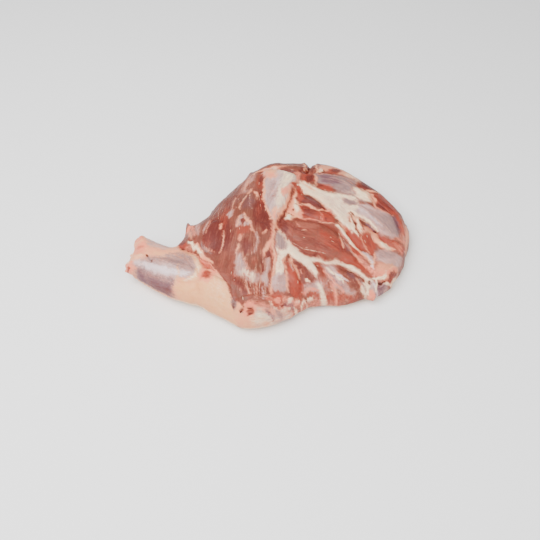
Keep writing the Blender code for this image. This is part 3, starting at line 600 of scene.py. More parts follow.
    ("area", "peach", 0.7, 5, [(0, 6), (8, 12), (12, 8), (8, -3), (5, -10), (2, -6)]),
    ("spot", "salmon", 0.4, (5, 2.4, 80), (5, -1)),
    ("line", "cream", 0.5, 4, [(12, 44), (13, 28), (10, 14)]),
    ("line", "peach", 0.85, 3, [(-8, 24), (-7, 36), (-7, 48), (-8, 60)]),
    ("spot", "bright", 0.85, (4, 2.4, 20), (30, 55)),
    ("spot", "bright", 0.7, (6, 2.2, 80), (36.5, 42)),
    ("spot", "dark_muscle_and_shade", 0.4, (8, 5, -20), (47, 9)),
    # painted shade in a small hole
    ("spot", "hole_shade", 0.5, (1.4, 1, 0), (4, 30), -0.8),
    # the cleft; its dark lines are painted shade down the crease
    ("line", "bright", 0.4, 2.6, [(31, 52), (29, 38), (27.5, 30)]),
    ("line", "peach", 0.8, 2.8, [(25.5, 45), (24, 37.5), (22, 28), (19.5, 19.5), (17.5, 12.5),
     (14.5, 6), (11.2, -1), (9, -6)]),
    ("line", "dark_muscle_and_shade", 0.85, 1.4, [(29.6, 50.5), (28.7, 41.7), (26.2, 32.4), (23.9, 22.9),
     (21.4, 14.3), (19.7, 8.8), (16.6, 2.4), (12.9, -3), (10.4, -10)]),
    ("line", "hole_shade", 0.8, 1, [(29, 44), (26.2, 32.4), (23.9, 22.9), (21.4, 14.3), (19.7, 8.8),
     (16.6, 2.4), (13.5, -2)], -1.2),
    # white line from the flap's tip
    ("line", "peach", 0.9, 3.4, [(4, -8), (6, -14), (9, -20)]),
    # shank: peach fat, bare silver shin, knuckle
    ("area", "peach", 0.95, 3, [(-190, -70), (-190, 10), (-116, 10), (-111, -28), (-106, -38),
     (-99, -42.5), (-91, -46.5), (-85, -51.5), (-80, -56), (-75, -62), (-70, -66), (-64, -73),
     (-59, -80), (-52, -90), (-46, -98), (-42, -108), (-36, -116), (-28, -119), (-20, -120),
      (0, -119), (20, -116), (30, -112), (30, -150), (-120, -150)]),
    ("area", "cream", 0.35, 10, [(-160, -10), (-146, -12), (-116, -24), (-112, -34), (-130, -30),
     (-150, -20)]),
    ("area", "silver", 0.7, 12, [(-150, -20), (-134, -22), (-118, -28), (-112, -42), (-126, -42),
     (-146, -34)]),
    ("area", "fat", 0.85, 10, [(-112, -90), (-104, -86), (-92, -88), (-84, -86), (-76, -88),
     (-66, -86), (-58, -88), (-50, -96), (-44, -108), (-38, -118), (-40, -128), (-60, -120),
     (-80, -112), (-104, -100)]),
    ("area", "cream", 0.3, 18, [(-72, -88), (-62, -84), (-57, -88), (-50, -96), (-45, -106),
     (-42, -114), (-50, -118), (-62, -110), (-72, -100)]),
    ("line", "fat", 0.5, 3, [(-66, -112), (-60, -102), (-58, -92)]),
    ("line", "fat", 0.4, 3, [(-52, -118), (-50, -108), (-52, -98)]),
    ("area", "silver", 0.9, 8, [(-164, -55), (-154, -53), (-147, -55), (-139, -55), (-131, -53),
     (-116, -50), (-100, -51), (-90, -53), (-85, -60), (-84, -72), (-86, -82), (-94, -84),
     (-104, -82), (-111, -86), (-117, -89), (-126, -84), (-138, -76), (-150, -69), (-164, -60)]),
    ("area", "fat", 0.45, 12, [(-140, -48), (-120, -48), (-100, -50), (-88, -55), (-92, -62),
     (-110, -62), (-130, -60)]),
    ("area", "lilac", 0.6, 11, [(-118, -50), (-98, -50), (-86, -55), (-88, -64), (-112, -64),
     (-128, -58)]),
    ("area", "brown", 0.2, 11, [(-112, -50), (-98, -50), (-86, -55), (-88, -64), (-108, -64)]),
    ("area", "lilac", 0.6, 10, [(-114, -60), (-104, -60), (-92, -62), (-88, -70), (-90, -78),
     (-100, -80), (-108, -72)]),
    ("area", "lilac", 0.5, 9, [(-160, -59), (-150, -60), (-140, -66), (-128, -72), (-118, -78),
     (-112, -84), (-120, -84), (-134, -76), (-150, -66)]),
    # partly a painted sheen: pale lines along the top of the shank
    ("line", "pale_silver_and_sheen", 0.6, 8, [(-162, -57), (-152, -60), (-143, -64), (-134, -69), (-124, -73),
     (-116, -77), (-106, -78), (-94, -79)]),
    ("line", "pale_silver_and_sheen", 0.8, 6, [(-148, -62), (-138, -67), (-128, -72), (-118, -76)]),
    ("area", "pale_silver_and_sheen", 0.25, 9, [(-149, -60), (-131, -65), (-110, -69), (-110, -82), (-126, -78),
     (-140, -71), (-150, -64)]),
    ("area", "lilac", 0.5, 8, [(-146, -50), (-118, -54), (-102, -60), (-110, -68), (-140, -62),
     (-152, -56)]),
    ("area", "lilac", 0.75, 14, [(-160, -60), (-150, -64), (-140, -72), (-126, -79), (-115, -83),
     (-115, -94), (-140, -88), (-162, -70)]),
    ("area", "purple", 0.85, 13, [(-156, -63), (-150, -67), (-145, -70), (-138, -74.5),
     (-131, -78.5), (-123, -82), (-115, -85), (-115, -93), (-132, -90), (-146, -82), (-158, -71)]),
    ("line", "dark_muscle_and_shade", 0.4, 5, [(-146, -76), (-134, -83), (-124, -88), (-116, -90)]),
    ("line", "fat", 0.5, 3, [(-106.6, -66), (-106.7, -77.6), (-107.7, -83.5), (-110.9, -86)]),
    ("line", "fat", 0.7, 7, [(-97, -50), (-88, -55), (-83, -66), (-83, -78), (-90, -86)]),
    ("line", "cream", 0.5, 4.6, [(-92, -52), (-86, -56), (-83, -65), (-83, -76), (-87, -84),
     (-97, -86)]),
    ("line", "salmon", 0.6, 5, [(-79, -58), (-77, -68), (-77, -78)]),
    ("line", "peach", 0.7, 3, [(-80, -64), (-81, -74), (-80, -84)]),
    ("area", "salmon", 0.7, 6, [(-80, -76), (-72, -72), (-65, -80), (-64, -90), (-72, -93),
     (-79, -88)]),
    ("area", "bright", 0.9, 5, [(-77, -78), (-72, -75), (-68, -80), (-68, -88), (-74, -88),
     (-77, -84)]),
    ("line", "salmon", 0.8, 5, [(-84, -53), (-76, -63), (-68, -72), (-62, -80)]),
    ("line", "bright", 0.6, 3.5, [(-78, -62), (-70, -70), (-64, -77)]),
    ("line", "salmon", 0.3, 6, [(-140, -88), (-110, -100), (-80, -112), (-56, -122)]),
    # painted shade in two small dents
    ("spot", "hole_shade", 0.75, (3, 1.4, 105), (-145.5, -51), -1.2),
    ("spot", "hole_shade", 0.85, (1.8, 1.4, 0), (-139, -60), -1.2),
    ("line", "lilac", 0.8, 2.2, [(-145, -52), (-142, -57), (-139, -60)]),
    ("spot", "peach", 0.7, (6, 5, 0), (-160, -14)),
    ("spot", "fat", 0.7, (5, 3, 0), (-158, -13)),
    ("area", "salmon", 0.9, 9, [(-164, -30), (-152, -29), (-147, -36), (-150, -46), (-160, -46),
     (-166, -38)]),
    ("spot", "bright", 0.35, (6, 3, -10), (-156, -36)),
    ("spot", "salmon", 0.9, (5, 4, 0), (-158.5, -20)),
    ("spot", "cream", 0.8, (3, 2.4, 0), (-167, -41)),
    ("spot", "silver", 0.6, (4, 2.4, 0), (-170, -49)),
    ("area", "salmon", 0.7, 5, [(-176, -58), (-166, -63), (-158, -62), (-162, -56), (-172, -50)]),
    ("spot", "bright", 0.9, (2.6, 1.8, -30), (-168.5, -58.5)),
    ("line", "cream", 0.3, 5, [(-168, -49), (-160, -50), (-150, -50)]),
    # elbow: pits and the pinkish strip beside them
    ("area", "silver", 0.7, 8, [(-18, -122), (-8, -120), (4, -119), (18, -117), (24, -114),
     (14, -122), (0, -127), (-14, -130)]),
    ("area", "cream", 0.6, 9, [(-14, -122), (2, -124), (16, -119), (24, -114), (10, -125),
     (-8, -131), (-20, -130)]),
    ("area", "salmon", 0.35, 6, [(-12, -119), (2, -119), (10, -118), (4, -122), (-8, -122)]),
    ("spot", "purple", 0.5, (5, 2, -20), (0, -122)),
    ("spot", "lilac", 0.6, (4, 1.6, -10), (9, -119)),
    # the pits: dents with painted shade in them
    ("spot", "lilac", 0.95, (6, 3.4, 100), (-40.5, -114.5), -1),
    ("spot", "hole_shade", 0.6, (3, 1.6, 100), (-41.5, -117), -1.6),
    ("spot", "brown", 0.9, (4, 2, 45), (-32, -121.5), -2),
    ("spot", "hole_shade", 0.7, (2.2, 1.2, 60), (-34, -123), -2),
    ("spot", "salmon", 0.8, (7, 5, 10), (-24, -123)),
    ("spot", "bright", 0.75, (4, 2.8, 15), (-22.5, -124.8)),
    ("spot", "brown", 0.4, (4, 2.8, 15), (-22.5, -124.8)),
    ("line", "hole_shade", 0.75, 1.2, [(-25.5, -122.8), (-23, -122.2), (-20, -123)], -1.6),
    ("spot", "dark_muscle_and_shade", 0.6, (2.4, 1.1, 15), (-22.5, -127), -1),
    # crease between the shank and the body, the tendon beside it
    ("area", "salmon", 0.6, 6, [(-112, -24), (-106, -28), (-100, -34), (-94, -42), (-88, -48),
     (-97, -43), (-108, -36)]),
    ("spot", "bright", 0.9, (7, 4, -45), (-105, -33)),
    ("spot", "dark_muscle_and_shade", 0.6, (6, 3, -45), (-106, -29)),
    ("line", "salmon", 0.8, 3.5, [(-104, 0), (-107, -12), (-109, -24)]),
    ("spot", "salmon", 0.8, (7, 2.6, 60), (-99, -4)),
    ("line", "cream", 1, 5.4, [(-96, -32), (-91, -39), (-86, -45), (-81, -51), (-78, -56)]),
    ("line", "peach", 0.7, 3, [(-89, -36), (-84, -43), (-79, -50)]),
    ("line", "peach", 0.8, 4, [(-81, -52), (-76, -58), (-71, -62), (-66, -66)]),
    # painted shade along the crease
    ("line", "hole_shade", 0.7, 1.2, [(-107, -36), (-102, -41), (-95, -44.5), (-89, -48), (-84, -53),
     (-79, -58)], -0.8),
    ("line", "hole_shade", 0.5, 1.2, [(-79, -58), (-74, -63), (-69, -66.5), (-63, -74), (-58, -82),
     (-54, -88)], -0.6),
    ("line", "dark_muscle_and_shade", 0.6, 2.4, [(-58, -81), (-50, -92), (-44, -104), (-38, -114)]),
    # tab and pocket on the blade's near edge
    ("area", "silver", 0.8, 5, [(116, -78), (126, -78), (136, -76), (142, -78), (134, -86),
     (124, -93), (116, -88)]),
    ("area", "purple", 0.75, 5, [(122, -80), (130, -78), (138, -77), (136, -84), (126, -88)]),
    ("line", "pale_silver_and_sheen", 0.6, 3, [(120, -80), (126, -84), (132, -88)]),
    ("spot", "salmon", 0.9, (5, 3.4, -20), (121, -89)),
    # painted shade in the pocket
    ("line", "hole_shade", 0.9, 2, [(126, -78.5), (131, -77.5), (136, -74.5)], -2.5),
    ("line", "cream", 0.95, 3, [(120, -75), (128, -74), (134, -72), (137, -66)]),
    ("line", "cream", 0.9, 2.4, [(124, -76), (125, -80), (124, -84)]),
    ("area", "bright", 0.5, 3, [(138, -73), (139, -68), (145, -62), (151, -57), (153, -61),
     (148, -68), (142, -75)]),
    ("area", "dark_muscle_and_shade", 0.6, 3, [(138, -73), (139, -68), (145, -62), (151, -57), (153, -61),
     (148, -68), (142, -75)]),
    ("line", "peach", 0.7, 1.8, [(136.5, -71), (138.5, -66), (145, -59.5), (151, -55)]),
    ("spot", "salmon", 0.9, (6, 4, 0), (122, -91)),
    ("spot", "bright", 0.7, (3, 2.6, 0), (122, -91)),
    ("area", "bright", 0.4, 4, [(139, -72), (145, -66), (152, -60), (155, -63), (148, -72),
     (142, -76)]),
    ("line", "salmon", 0.8, 3, [(136, -68), (144, -63), (152, -57)]),
    ("line", "cream", 0.8, 2.2, [(134, -77), (141, -75), (148, -69), (154, -62)]),
]

# Pale strands on the skin: radius, and points in plan.
STRANDS = [
    (0.5, [(34, -41.5), (40, -44.5), (48, -46.5), (58, -48.5), (66, -50)]),
    (0.35, [(38, -43), (46, -46), (54, -47)]),
    (0.35, [(26, -37), (30, -39.5), (34, -41)]),
    (0.3, [(37, -24.5), (40, -23.5), (43, -25)]),
    (0.45, [(36, 22), (42, 21.5), (48, 20), (54, 16), (60, 14.5), (66, 17)]),
    (0.35, [(60, 13), (62, 5), (61, -1)]),
    (0.4, [(61, -4), (67, -5), (76, -4), (82, -7)]),
    (0.6, [(80, -7), (87, -11), (92, -18), (97, -27), (103, -35), (110, -41)]),
    (0.45, [(110, -41), (116, -50), (120, -60)]),
    (0.4, [(84, -19), (86, -30), (87, -42)]),
    (0.35, [(92, -28), (96, -38), (103, -48), (110, -56)]),
    (0.5, [(99, 19), (105, 17), (112, 12), (119, 6), (126, -1), (131, -8)]),
    (0.45, [(108, 12), (108, 2), (110, -8), (113, -16)]),
    (0.45, [(102, 12), (101, 2), (103, -8), (107, -16)]),
    (0.35, [(98, 14), (97, 2), (99, -8)]),
    (0.35, [(112, 8), (113, -2), (116, -12)]),
    (0.4, [(124, -10), (124, -20), (127, -28)]),
    (0.5, [(24, -57), (27, -66), (31, -75), (34, -84)]),
    (0.35, [(22, -60), (25, -70), (29, -79)]),
    (0.4, [(44, -68), (50, -76), (54, -83)]),
    (0.4, [(-37, 12), (-35, 22), (-31, 32), (-28, 38)]),
    (0.35, [(-55, -22), (-54.5, -32), (-56, -42), (-59, -50)]),
    (0.35, [(-80, -24), (-78, -14), (-75, -3)]),
    (0.35, [(-37, 0), (-38, -8), (-39, -16)]),
    (0.4, [(-33, 2), (-29, -7), (-25, -12), (-22, -18)]),
    (0.35, [(-15, -26), (-14.5, -38), (-16, -50)]),
    (0.3, [(-22, -14), (-21, -22), (-18, -28)]),
    (0.35, [(-46, 8), (-45, 22), (-42, 36)]),
    (0.3, [(-62, -4), (-63, 10), (-60, 24)]),
    (0.3, [(-70, -4), (-69, 8), (-66, 20)]),
    (0.4, [(-18, 42), (-14, 32), (-12, 22)]),
    (0.3, [(-26, 46), (-25, 34), (-27, 22)]),
    (0.4, [(-8, 42), (-7, 26), (-4, 8), (0, -6)]),
    (0.5, [(5, -14), (4, -28), (3, -42), (5, -56), (4, -72), (2, -90)]),
    (0.35, [(-40, -52), (-38, -66), (-40, -82)]),
    (0.35, [(-35, -54), (-34, -68), (-36, -80)]),
    (0.35, [(-27, -90), (-25, -102), (-23, -112)]),
    (0.3, [(-19, -94), (-18, -104), (-17, -114)]),
    (0.35, [(-12, -92), (-12, -104), (-11, -114)]),
    (0.35, [(-6, -84), (-6, -98), (-4, -112)]),
    (0.3, [(-2, -64), (-4, -76), (-3, -90)]),
    (0.3, [(-31, -60), (-28, -70), (-26, -78)]),
    (0.35, [(-2, 26), (4, 40), (12, 56)]),
    (0.3, [(2, 16), (8, 30), (13, 42)]),
    (0.3, [(6, 70), (14, 66), (24, 68)]),
    (0.3, [(-4, 50), (2, 58), (10, 66)]),
    (0.35, [(78, 74), (90, 70), (104, 60)]),
    (0.3, [(66, 70), (80, 68), (92, 64)]),
    (0.4, [(58, 82), (59, 70), (58, 58)]),
    (0.3, [(112, 28), (126, 14), (140, -2), (150, -14)]),
    (0.3, [(108, 22), (122, 8), (134, -8)]),
    (0.5, [(44, 88), (45, 100), (45, 112)]),
    (0.5, [(61, 84), (61, 98), (60, 111)]),
    (0.4, [(28, -108), (38, -103), (50, -99), (64, -98)]),
    (0.45, [(64, -66), (72, -72), (79, -79), (87, -85)]),
    (0.35, [(78, -77), (84, -79.5), (91, -82)]),
    (0.35, [(62, -70), (69, -79), (77, -87)]),
    (0.5, [(120, -75), (128, -74), (134, -71.5), (138, -65)]),
    (0.45, [(134, -77), (141, -75), (148, -69), (154, -62)]),
    (0.4, [(110, -80), (112, -86), (112, -91)]),
    (0.4, [(-95, -34), (-90, -41), (-85, -47), (-79, -54)]),
    (0.35, [(-92, -34), (-87, -40), (-82, -46)]),
    (0.35, [(-104, -4), (-107, -14), (-108, -24)]),
]

# Which way the fibres run: places of each muscle with the turn from +X in degrees. None fans out
# from the long head's far tendon.
FIBRES = [
    (-70, -30, None), (-45, -60, None), (-45, 10, None), (-20, -90, None), (-90, -8, None),
    (-12, 20, None), (-22, 60, None), (-8, -40, None), (-30, -104, None), (-6, -80, None),
    (5, 45, 64), (20, 62, 60), (4, 10, 75), (12, 96, 8), (-10, 92, 20), (34, 92, 0), (46, 72, 80),
    (52, 30, -36), (36, 44, 95), (48, 8, -8), (70, 8, -20), (28, 18, 100), (40, -24, -16),
    (70, -34, -24), (98, -54, -34), (18, -18, -50), (93, -30, -60), (102, -22, -58),
    (118, -26, -78), (132, -22, -55), (152, -30, -20), (142, -46, -35), (132, -66, -20),
    (135, 10, -50), (150, 0, -60), (120, 24, -50), (60, 42, -30), (84, 20, -46), (100, 0, -60),
    (100, 40, -34), (82, 68, -18), (72, 55, -5), (84, 90, -12), (106, 84, -30), (124, 68, -40),
    (145, 40, -52), (164, 0, -80), (14, -70, 92), (11, -40, 88), (12, -96, 92), (38, -52, -16),
    (25, -80, 108), (42, -76, 110), (60, -78, 112), (50, -64, -50), (78, -78, -44), (92, -77, -38),
    (76, -94, -50), (54, -98, -62), (98, -92, -40), (112, -84, -30), (128, -84, 15),
     (12, -111, 20), (-10, -123, 4),
    (-62, -100, -32), (-95, -92, -26), (-120, -70, -26), (-125, -40, -20), (-155, -36, -10),
    (-165, -56, -20), (-80, -70, -60),
]
FIBRE_FOCUS = (-10, 250)
FAN_WIDTH = 290
MUSCLE_STEP = 7.0

NOISE_CELLS = 32

# How a spot ends, as shares of its half sizes, and how far around a patch its cover is worked out.
SPOT_REACH = 1.35
SPOT_SOFTNESS = 0.7
PATCH_MARGIN = 12

# How much of an earlier patch's height a later one takes away.
COVERED_HEIGHT = 0.7
PAINT_FADE = 5

# Where the stations lie closer together, for the nick in the far edge, counted in edge pairs, and
# how far stations and ring points crowd towards their ends.
NICK_STATION = 20.1
STATION_CROWDING = 0.25
RING_CROWDING = 0.5

# The grid steps around a place that a hollow is measured over, and the hollow depth that gets
# the full painted crease shade.
CREASE_SHADE_REACH = 5
CREASE_SHADE_DEPTH = 1.6


def smooth_curve(points, places):
    """The Catmull-Rom curve through the points, at these fractional point numbers."""
    p = np.array(points, float)
    p = np.vstack([2 * p[0] - p[1], p, 2 * p[-1] - p[-2]])
    i = np.clip(np.floor(places).astype(int), 0, len(points) - 2)
    t = (places - i)[:, None]
    a, b, c, d = p[i], p[i + 1], p[i + 2], p[i + 3]
    return 0.5 * (
        2 * b
        + (c - a) * t
        + (2 * a - 5 * b + 4 * c - d) * t**2
        + (3 * b - a - 3 * c + d) * t**3
    )


def edges_at(places):
    """Points on the elbow side and on the far side, at these fractional pair numbers."""
    return [smooth_curve([pair[end] for pair in EDGE_PAIRS], places) for end in (0, 1)]


def edge_outline(steps):
    """The closed outline in plan: along the elbow side, then back along the far side."""
    near, far = edges_at(np.linspace(0, len(EDGE_PAIRS) - 1, steps))
    return np.vstack([near, far[::-1]])


def distance_to_line(xy, line, closed=False):
    """The distance of each plan point to a polyline."""
    line = np.array(line, float)
    ends = np.roll(line, -1, axis=0) if closed else line[1:]
    starts = line if closed else line[:-1]
    best = np.full(len(xy), np.inf)
    for a, b in zip(starts, ends):
        along = b - a
        t = np.clip((xy - a) @ along / max(along @ along, 1e-9), 0, 1)
        best = np.minimum(best, np.linalg.norm(xy - a - t[:, None] * along, axis=1))
    return best


def along_line(xy, line):
    """The distance of each plan point to a polyline, and how far along it that is, from 0 to 1."""
    lengths = np.linalg.norm(np.diff(line, axis=0), axis=1)
    starts = np.concatenate([[0], np.cumsum(lengths)])
    best = np.full(len(xy), np.inf)
    share = np.zeros(len(xy))
    for number, (a, b) in enumerate(zip(line[:-1], line[1:])):
        along = b - a
        t = np.clip((xy - a) @ along / max(along @ along, 1e-9), 0, 1)
        gap = np.linalg.norm(xy - a - t[:, None] * along, axis=1)
        share = np.where(gap < best, (starts[number] + t * lengths[number]) / starts[-1], share)
        best = np.minimum(best, gap)
    return best, share


def inside_outline(xy, line):
    """Whether each plan point is inside a closed polyline, by counting crossings."""
    line = np.array(line, float)
    inside = np.zeros(len(xy), bool)
    for a, b in zip(line, np.roll(line, -1, axis=0)):
        crosses = (a[1] > xy[:, 1]) != (b[1] > xy[:, 1])
        rise = b[1] - a[1] if b[1] != a[1] else 1
        inside ^= crosses & (xy[:, 0] < a[0] + (xy[:, 1] - a[1]) * (b[0] - a[0]) / rise)
    return inside


def border_of(xy, line):
    """The distance of each plan point to a closed polyline, below 0 outside it."""
    return distance_to_line(xy, line, closed=True) * np.where(inside_outline(xy, line), 1, -1)


def in_oval(xy, centre, half_length, half_width, degrees):
    """How far along and across a turned oval each plan point is, as shares of its half sizes."""
    turn = math.radians(degrees)
    x, y = xy[:, 0] - centre[0], xy[:, 1] - centre[1]
    along = x * math.cos(turn) + y * math.sin(turn)
    across = y * math.cos(turn) - x * math.sin(turn)
    return along / half_length, across / half_width


def ease(value):
    """A smooth step from 0 to 1."""
    value = np.clip(value, 0, 1)
    return value * value * (3 - 2 * value)


def lumps(places, size, seed):
    """Smooth noise from -1 to 1 at these places, with lumps of about this size."""
    table = np.random.default_rng(seed).uniform(-1, 1, (NOISE_CELLS,) * 3)
    grid = places / np.asarray(size, float)
    cell = np.floor(grid).astype(int)
    part = ease(grid - cell)
    total = np.zeros(len(places))
    for corner in range(8):
        step = np.array([corner & 1, corner >> 1 & 1, corner >> 2 & 1])
        at = (cell + step) % NOISE_CELLS
        share = np.where(step, part, 1 - part).prod(axis=1)
        total += share * table[at[:, 0], at[:, 1], at[:, 2]]
    return total


def form_at(xy):
    """Top height, widest-line height and edge rounding at each plan point, from the spot marks."""
    places = np.array([mark[0] for mark in FORM_MARKS], float)
    values = np.array([mark[1:] for mark in FORM_MARKS], float)
    gap = np.linalg.norm(xy[:, None, :] - places[None], axis=2)
    weight = np.exp(-((gap / MARK_REACH) ** 2)) + 1e-6 / (1 + gap)
    return (weight @ values / weight.sum(axis=1)[:, None]).T


def relief_at(xy, flap_softness):
    """Height that the creases, the swells and the flap add at each plan point."""
    height = np.zeros(len(xy))
    for *oval, rise in SWELLS:
        along, across = in_oval(xy, *oval)
        height += rise * np.sqrt(np.clip(1 - (along**2 + across**2), 0, 1))
    for line, half_width, depth in CREASES:
        height -= depth * np.exp(-((distance_to_line(xy, line) / half_width) ** 2))
    return height + FLAP_HEIGHT / (1 + np.exp(-3 * border_of(xy, FLAP) / flap_softness))


def cover_of(patch, xy):
    """How far a patch covers each plan point, from 0 to 1."""
    kind, strength, size, shape = patch[0], patch[2], patch[3], patch[4]
    if kind == "spot":
        return strength * ease((SPOT_REACH - np.hypot(*in_oval(xy, shape, *size))) / SPOT_SOFTNESS)
    line = np.array(shape, float)
    low, high = line.min(axis=0) - PATCH_MARGIN, line.max(axis=0) + PATCH_MARGIN
    near = ((xy > low) & (xy < high)).all(axis=1)
    cover = np.zeros(len(xy))
    spots = xy[near]
    if kind == "area":
        cover[near] = strength * ease(border_of(spots, line) / size + 0.5)
    else:
        gap, share = along_line(spots, line)
        half = size * (0.22 + 0.28 * np.sqrt(np.clip(4 * share * (1 - share), 0, 1)))
        soft = max(1.5, size * 0.7)
        cover[near] = strength * ease((half - gap) / soft + 0.5)
    return cover


def painted(xy):
    """The share of each tissue and the height that the patches add at each plan point."""
    flat = np.column_stack([xy, np.zeros(len(xy))])
    warp = np.column_stack([lumps(flat, 8, 11), lumps(flat, 8, 12)]) * 1.1
    warp += np.column_stack([lumps(flat, 3.2, 13), lumps(flat, 3.2, 14)]) * 0.8
    grain, turn = fibre_frame(flat)
    pull = 1.8 * lumps(grain, (22, 3.4, 50), 15) + 1.2 * lumps(grain, (10, 1.8, 50), 16)
    spots = xy + warp + pull[:, None] * np.column_stack([np.cos(turn), np.sin(turn)])
    share = {name: np.zeros(len(xy)) for name in TISSUES}
    height = np.zeros(len(xy))
    for patch in PATCHES:
        tissue = patch[1]
        cover = cover_of(patch, spots)
        if tissue == "marble":
            share["marble"] = np.maximum(share["marble"], cover)
            continue
        for name in share:
            share[name] *= 1 - cover * (PLAIN_SHARE.get(tissue, 0) if name == "marble" else 1)
        share[tissue] += cover
        rise = patch[5] if len(patch) > 5 else TISSUES[tissue]
        height = height * (1 - COVERED_HEIGHT * cover) + rise * cover
    return share, height


def fibre_frame(places):
    """Each point's place along, across and under the fibres of its own muscle, and their turn."""
    seeds = np.array([(x, y) for x, y, _ in FIBRES], float)
    nearest = np.argmin(np.linalg.norm(places[:, None, :2] - seeds[None], axis=2), axis=1)
    turns = np.array([0 if turn is None else turn for _, _, turn in FIBRES])
    fans = np.array([turn is None for _, _, turn in FIBRES])[nearest]
    turn = np.radians(turns[nearest])
    x, y = places[:, 0], places[:, 1]
    along = x * np.cos(turn) + y * np.sin(turn)
    across = y * np.cos(turn) - x * np.sin(turn)
    from_x, from_y = x - FIBRE_FOCUS[0], FIBRE_FOCUS[1] - y
    along = np.where(fans, np.hypot(from_x, from_y), along)
    across = np.where(fans, np.arctan2(from_x, from_y) * FAN_WIDTH, across)
    turn = np.where(fans, np.arctan2(from_y, -from_x), turn)
    muscle = np.where(fans, 0, nearest)
    return np.column_stack([along, across, places[:, 2] + MUSCLE_STEP * muscle]), turn


def crowded_ends(count, share):
    """Fractions from 0 to 1, closer together towards both ends by this share."""
    even = np.linspace(0, 1, count + 1)
    return (1 - share) * even + share * (1 - np.cos(np.pi * even)) / 2


def plan_of_skin(stations, top_columns, under_columns):
    """Plan point and side (+1 top, -1 under) for each station and ring number."""
    fine = np.linspace(0, len(EDGE_PAIRS) - 1, 2000)
    density = 1 + 2.2 * np.exp(-(((fine - NICK_STATION) / 0.5) ** 2))
    density = density + 1.2 * np.exp(-((fine / 2.5) ** 2))
    reached = np.cumsum(density) - density[0]
    along = crowded_ends(stations, STATION_CROWDING)
    near, far = edges_at(np.interp(along, reached / reached[-1], fine))
    over = crowded_ends(top_columns, RING_CROWDING)[:-1]
    under = 1 - crowded_ends(under_columns, RING_CROWDING)[:-1]
    across = np.concatenate([over, under])
    side = np.concatenate([np.ones(len(over)), -np.ones(len(under))])
    plan = near[:, None] + (far - near)[:, None] * across[None, :, None]
    plan[0] = plan[0].mean(axis=0)
    plan[-1] = plan[-1].mean(axis=0)
    return plan, np.broadcast_to(side, plan.shape[:2])


def skin(plan, side, paint_height, flap_softness):
    """The meat's skin over these plan points, with the painted tissues' own heights."""
    xy = plan.reshape(-1, 2)
    side = side.reshape(-1)
    inside = distance_to_line(xy, edge_outline(OUTLINE_STEPS), closed=True)
    top, widest, rounding = form_at(xy)
    arch = np.sqrt(1 - (1 - np.clip(inside / rounding, 0, 1)) ** 2)
    fade = ease(inside / RELIEF_FADE)
    relief = relief_at(xy, flap_softness) * fade + paint_height * ease(inside / PAINT_FADE)
    upper = widest + (top - widest) * arch + relief
    belly = np.sqrt(1 - (1 - np.clip(inside / (UNDER_ROUNDING * rounding), 0, 1)) ** 2)
    lower = widest * (1 - belly)
    places = np.column_stack([xy, np.where(side > 0, upper, lower)])
    for centre, reach, shift in TUGS:
        gap = np.linalg.norm(places - centre, axis=1)
        places += np.exp(-((gap / reach) ** 2))[:, None] * shift
    places[:, 2] = np.maximum(places[:, 2], 0)
    return places.reshape(*plan.shape[:2], 3), widest, relief.reshape(plan.shape[:2])


def hollow_of(relief):
    """How far each grid place lies below what is around it, from 0 to 1, as its share of painted
    shade in the creases.
    """
    around = relief
    for axis in (0, 1):
        steps = range(-CREASE_SHADE_REACH, CREASE_SHADE_REACH + 1)
        around = sum(np.roll(around, step, axis) for step in steps) / len(steps)
    return np.clip((around - relief) / CREASE_SHADE_DEPTH, 0, 1)


def grid_normals(grid):
    """Outward normals of a closed grid of rings."""
    along = np.gradient(grid, axis=0)
    around = np.roll(grid, -1, axis=1) - np.roll(grid, 1, axis=1)
    normal = np.cross(around, along)
    length = np.linalg.norm(normal, axis=2, keepdims=True)
    return normal / np.maximum(length, 1e-9)


def laid_down(places):
    """Drawing places in millimetres as places in metres from the origin."""
    return (np.asarray(places, float) - (*DRAWING_CENTRE, 0)) * MM


def closed_grid(name, grid, attributes, vectors):
    """A mesh object from a grid of rings that closes in a pole at both ends."""
    stations, ring = grid.shape[0] - 1, grid.shape[1]
    inner = grid[1:-1].reshape(-1, 3)
    poles = np.array([grid[0].mean(axis=0), grid[-1].mean(axis=0)])
    places = np.vstack([inner, poles])
    number = np.arange(len(inner)).reshape(stations - 1, ring)
    beside = np.roll(number, -1, axis=1)
    quads = np.stack([number[:-1], beside[:-1], beside[1:], number[1:]], axis=-1).reshape(-1, 4)
    first, last = len(inner), len(inner) + 1
    faces = [tuple(q) for q in quads.tolist()]
    faces += [(first, b, a) for a, b in zip(number[0].tolist(), beside[0].tolist())]
    faces += [(last, a, b) for a, b in zip(number[-1].tolist(), beside[-1].tolist())]
    low, high = np.array(CAD_LOW), np.array(CAD_HIGH)
    metres = np.clip(laid_down(places), low, high)
    corner = metres[quads]
    pointing = np.cross(corner[:, 1] - corner[:, 0], corner[:, 2] - corner[:, 0])
    if (pointing * (corner.mean(axis=1) - metres.mean(axis=0))).sum() < 0:
        faces = [face[::-1] for face in faces]
    mesh = bpy.data.meshes.new(name)
    mesh.from_pydata(metres.tolist(), [], faces)

    def with_poles(values):
        rows = values[1:-1].reshape(-1, *values.shape[2:])
        ends = np.stack([values[0].mean(axis=0), values[-1].mean(axis=0)])
        return np.concatenate([rows, ends])

    for label, values in attributes.items():
        layer = mesh.attributes.new(label, "FLOAT", "POINT")
        layer.data.foreach_set("value", with_poles(values).astype(np.float32))
    for label, values in vectors.items():
        layer = mesh.attributes.new(label, "FLOAT_VECTOR", "POINT")
        layer.data.foreach_set("vector", with_poles(values).astype(np.float32).ravel())
    mesh.shade_smooth()
    mesh.validate()
    obj = bpy.data.objects.new(name, mesh)
    bpy.context.scene.collection.objects.link(obj)
    return obj


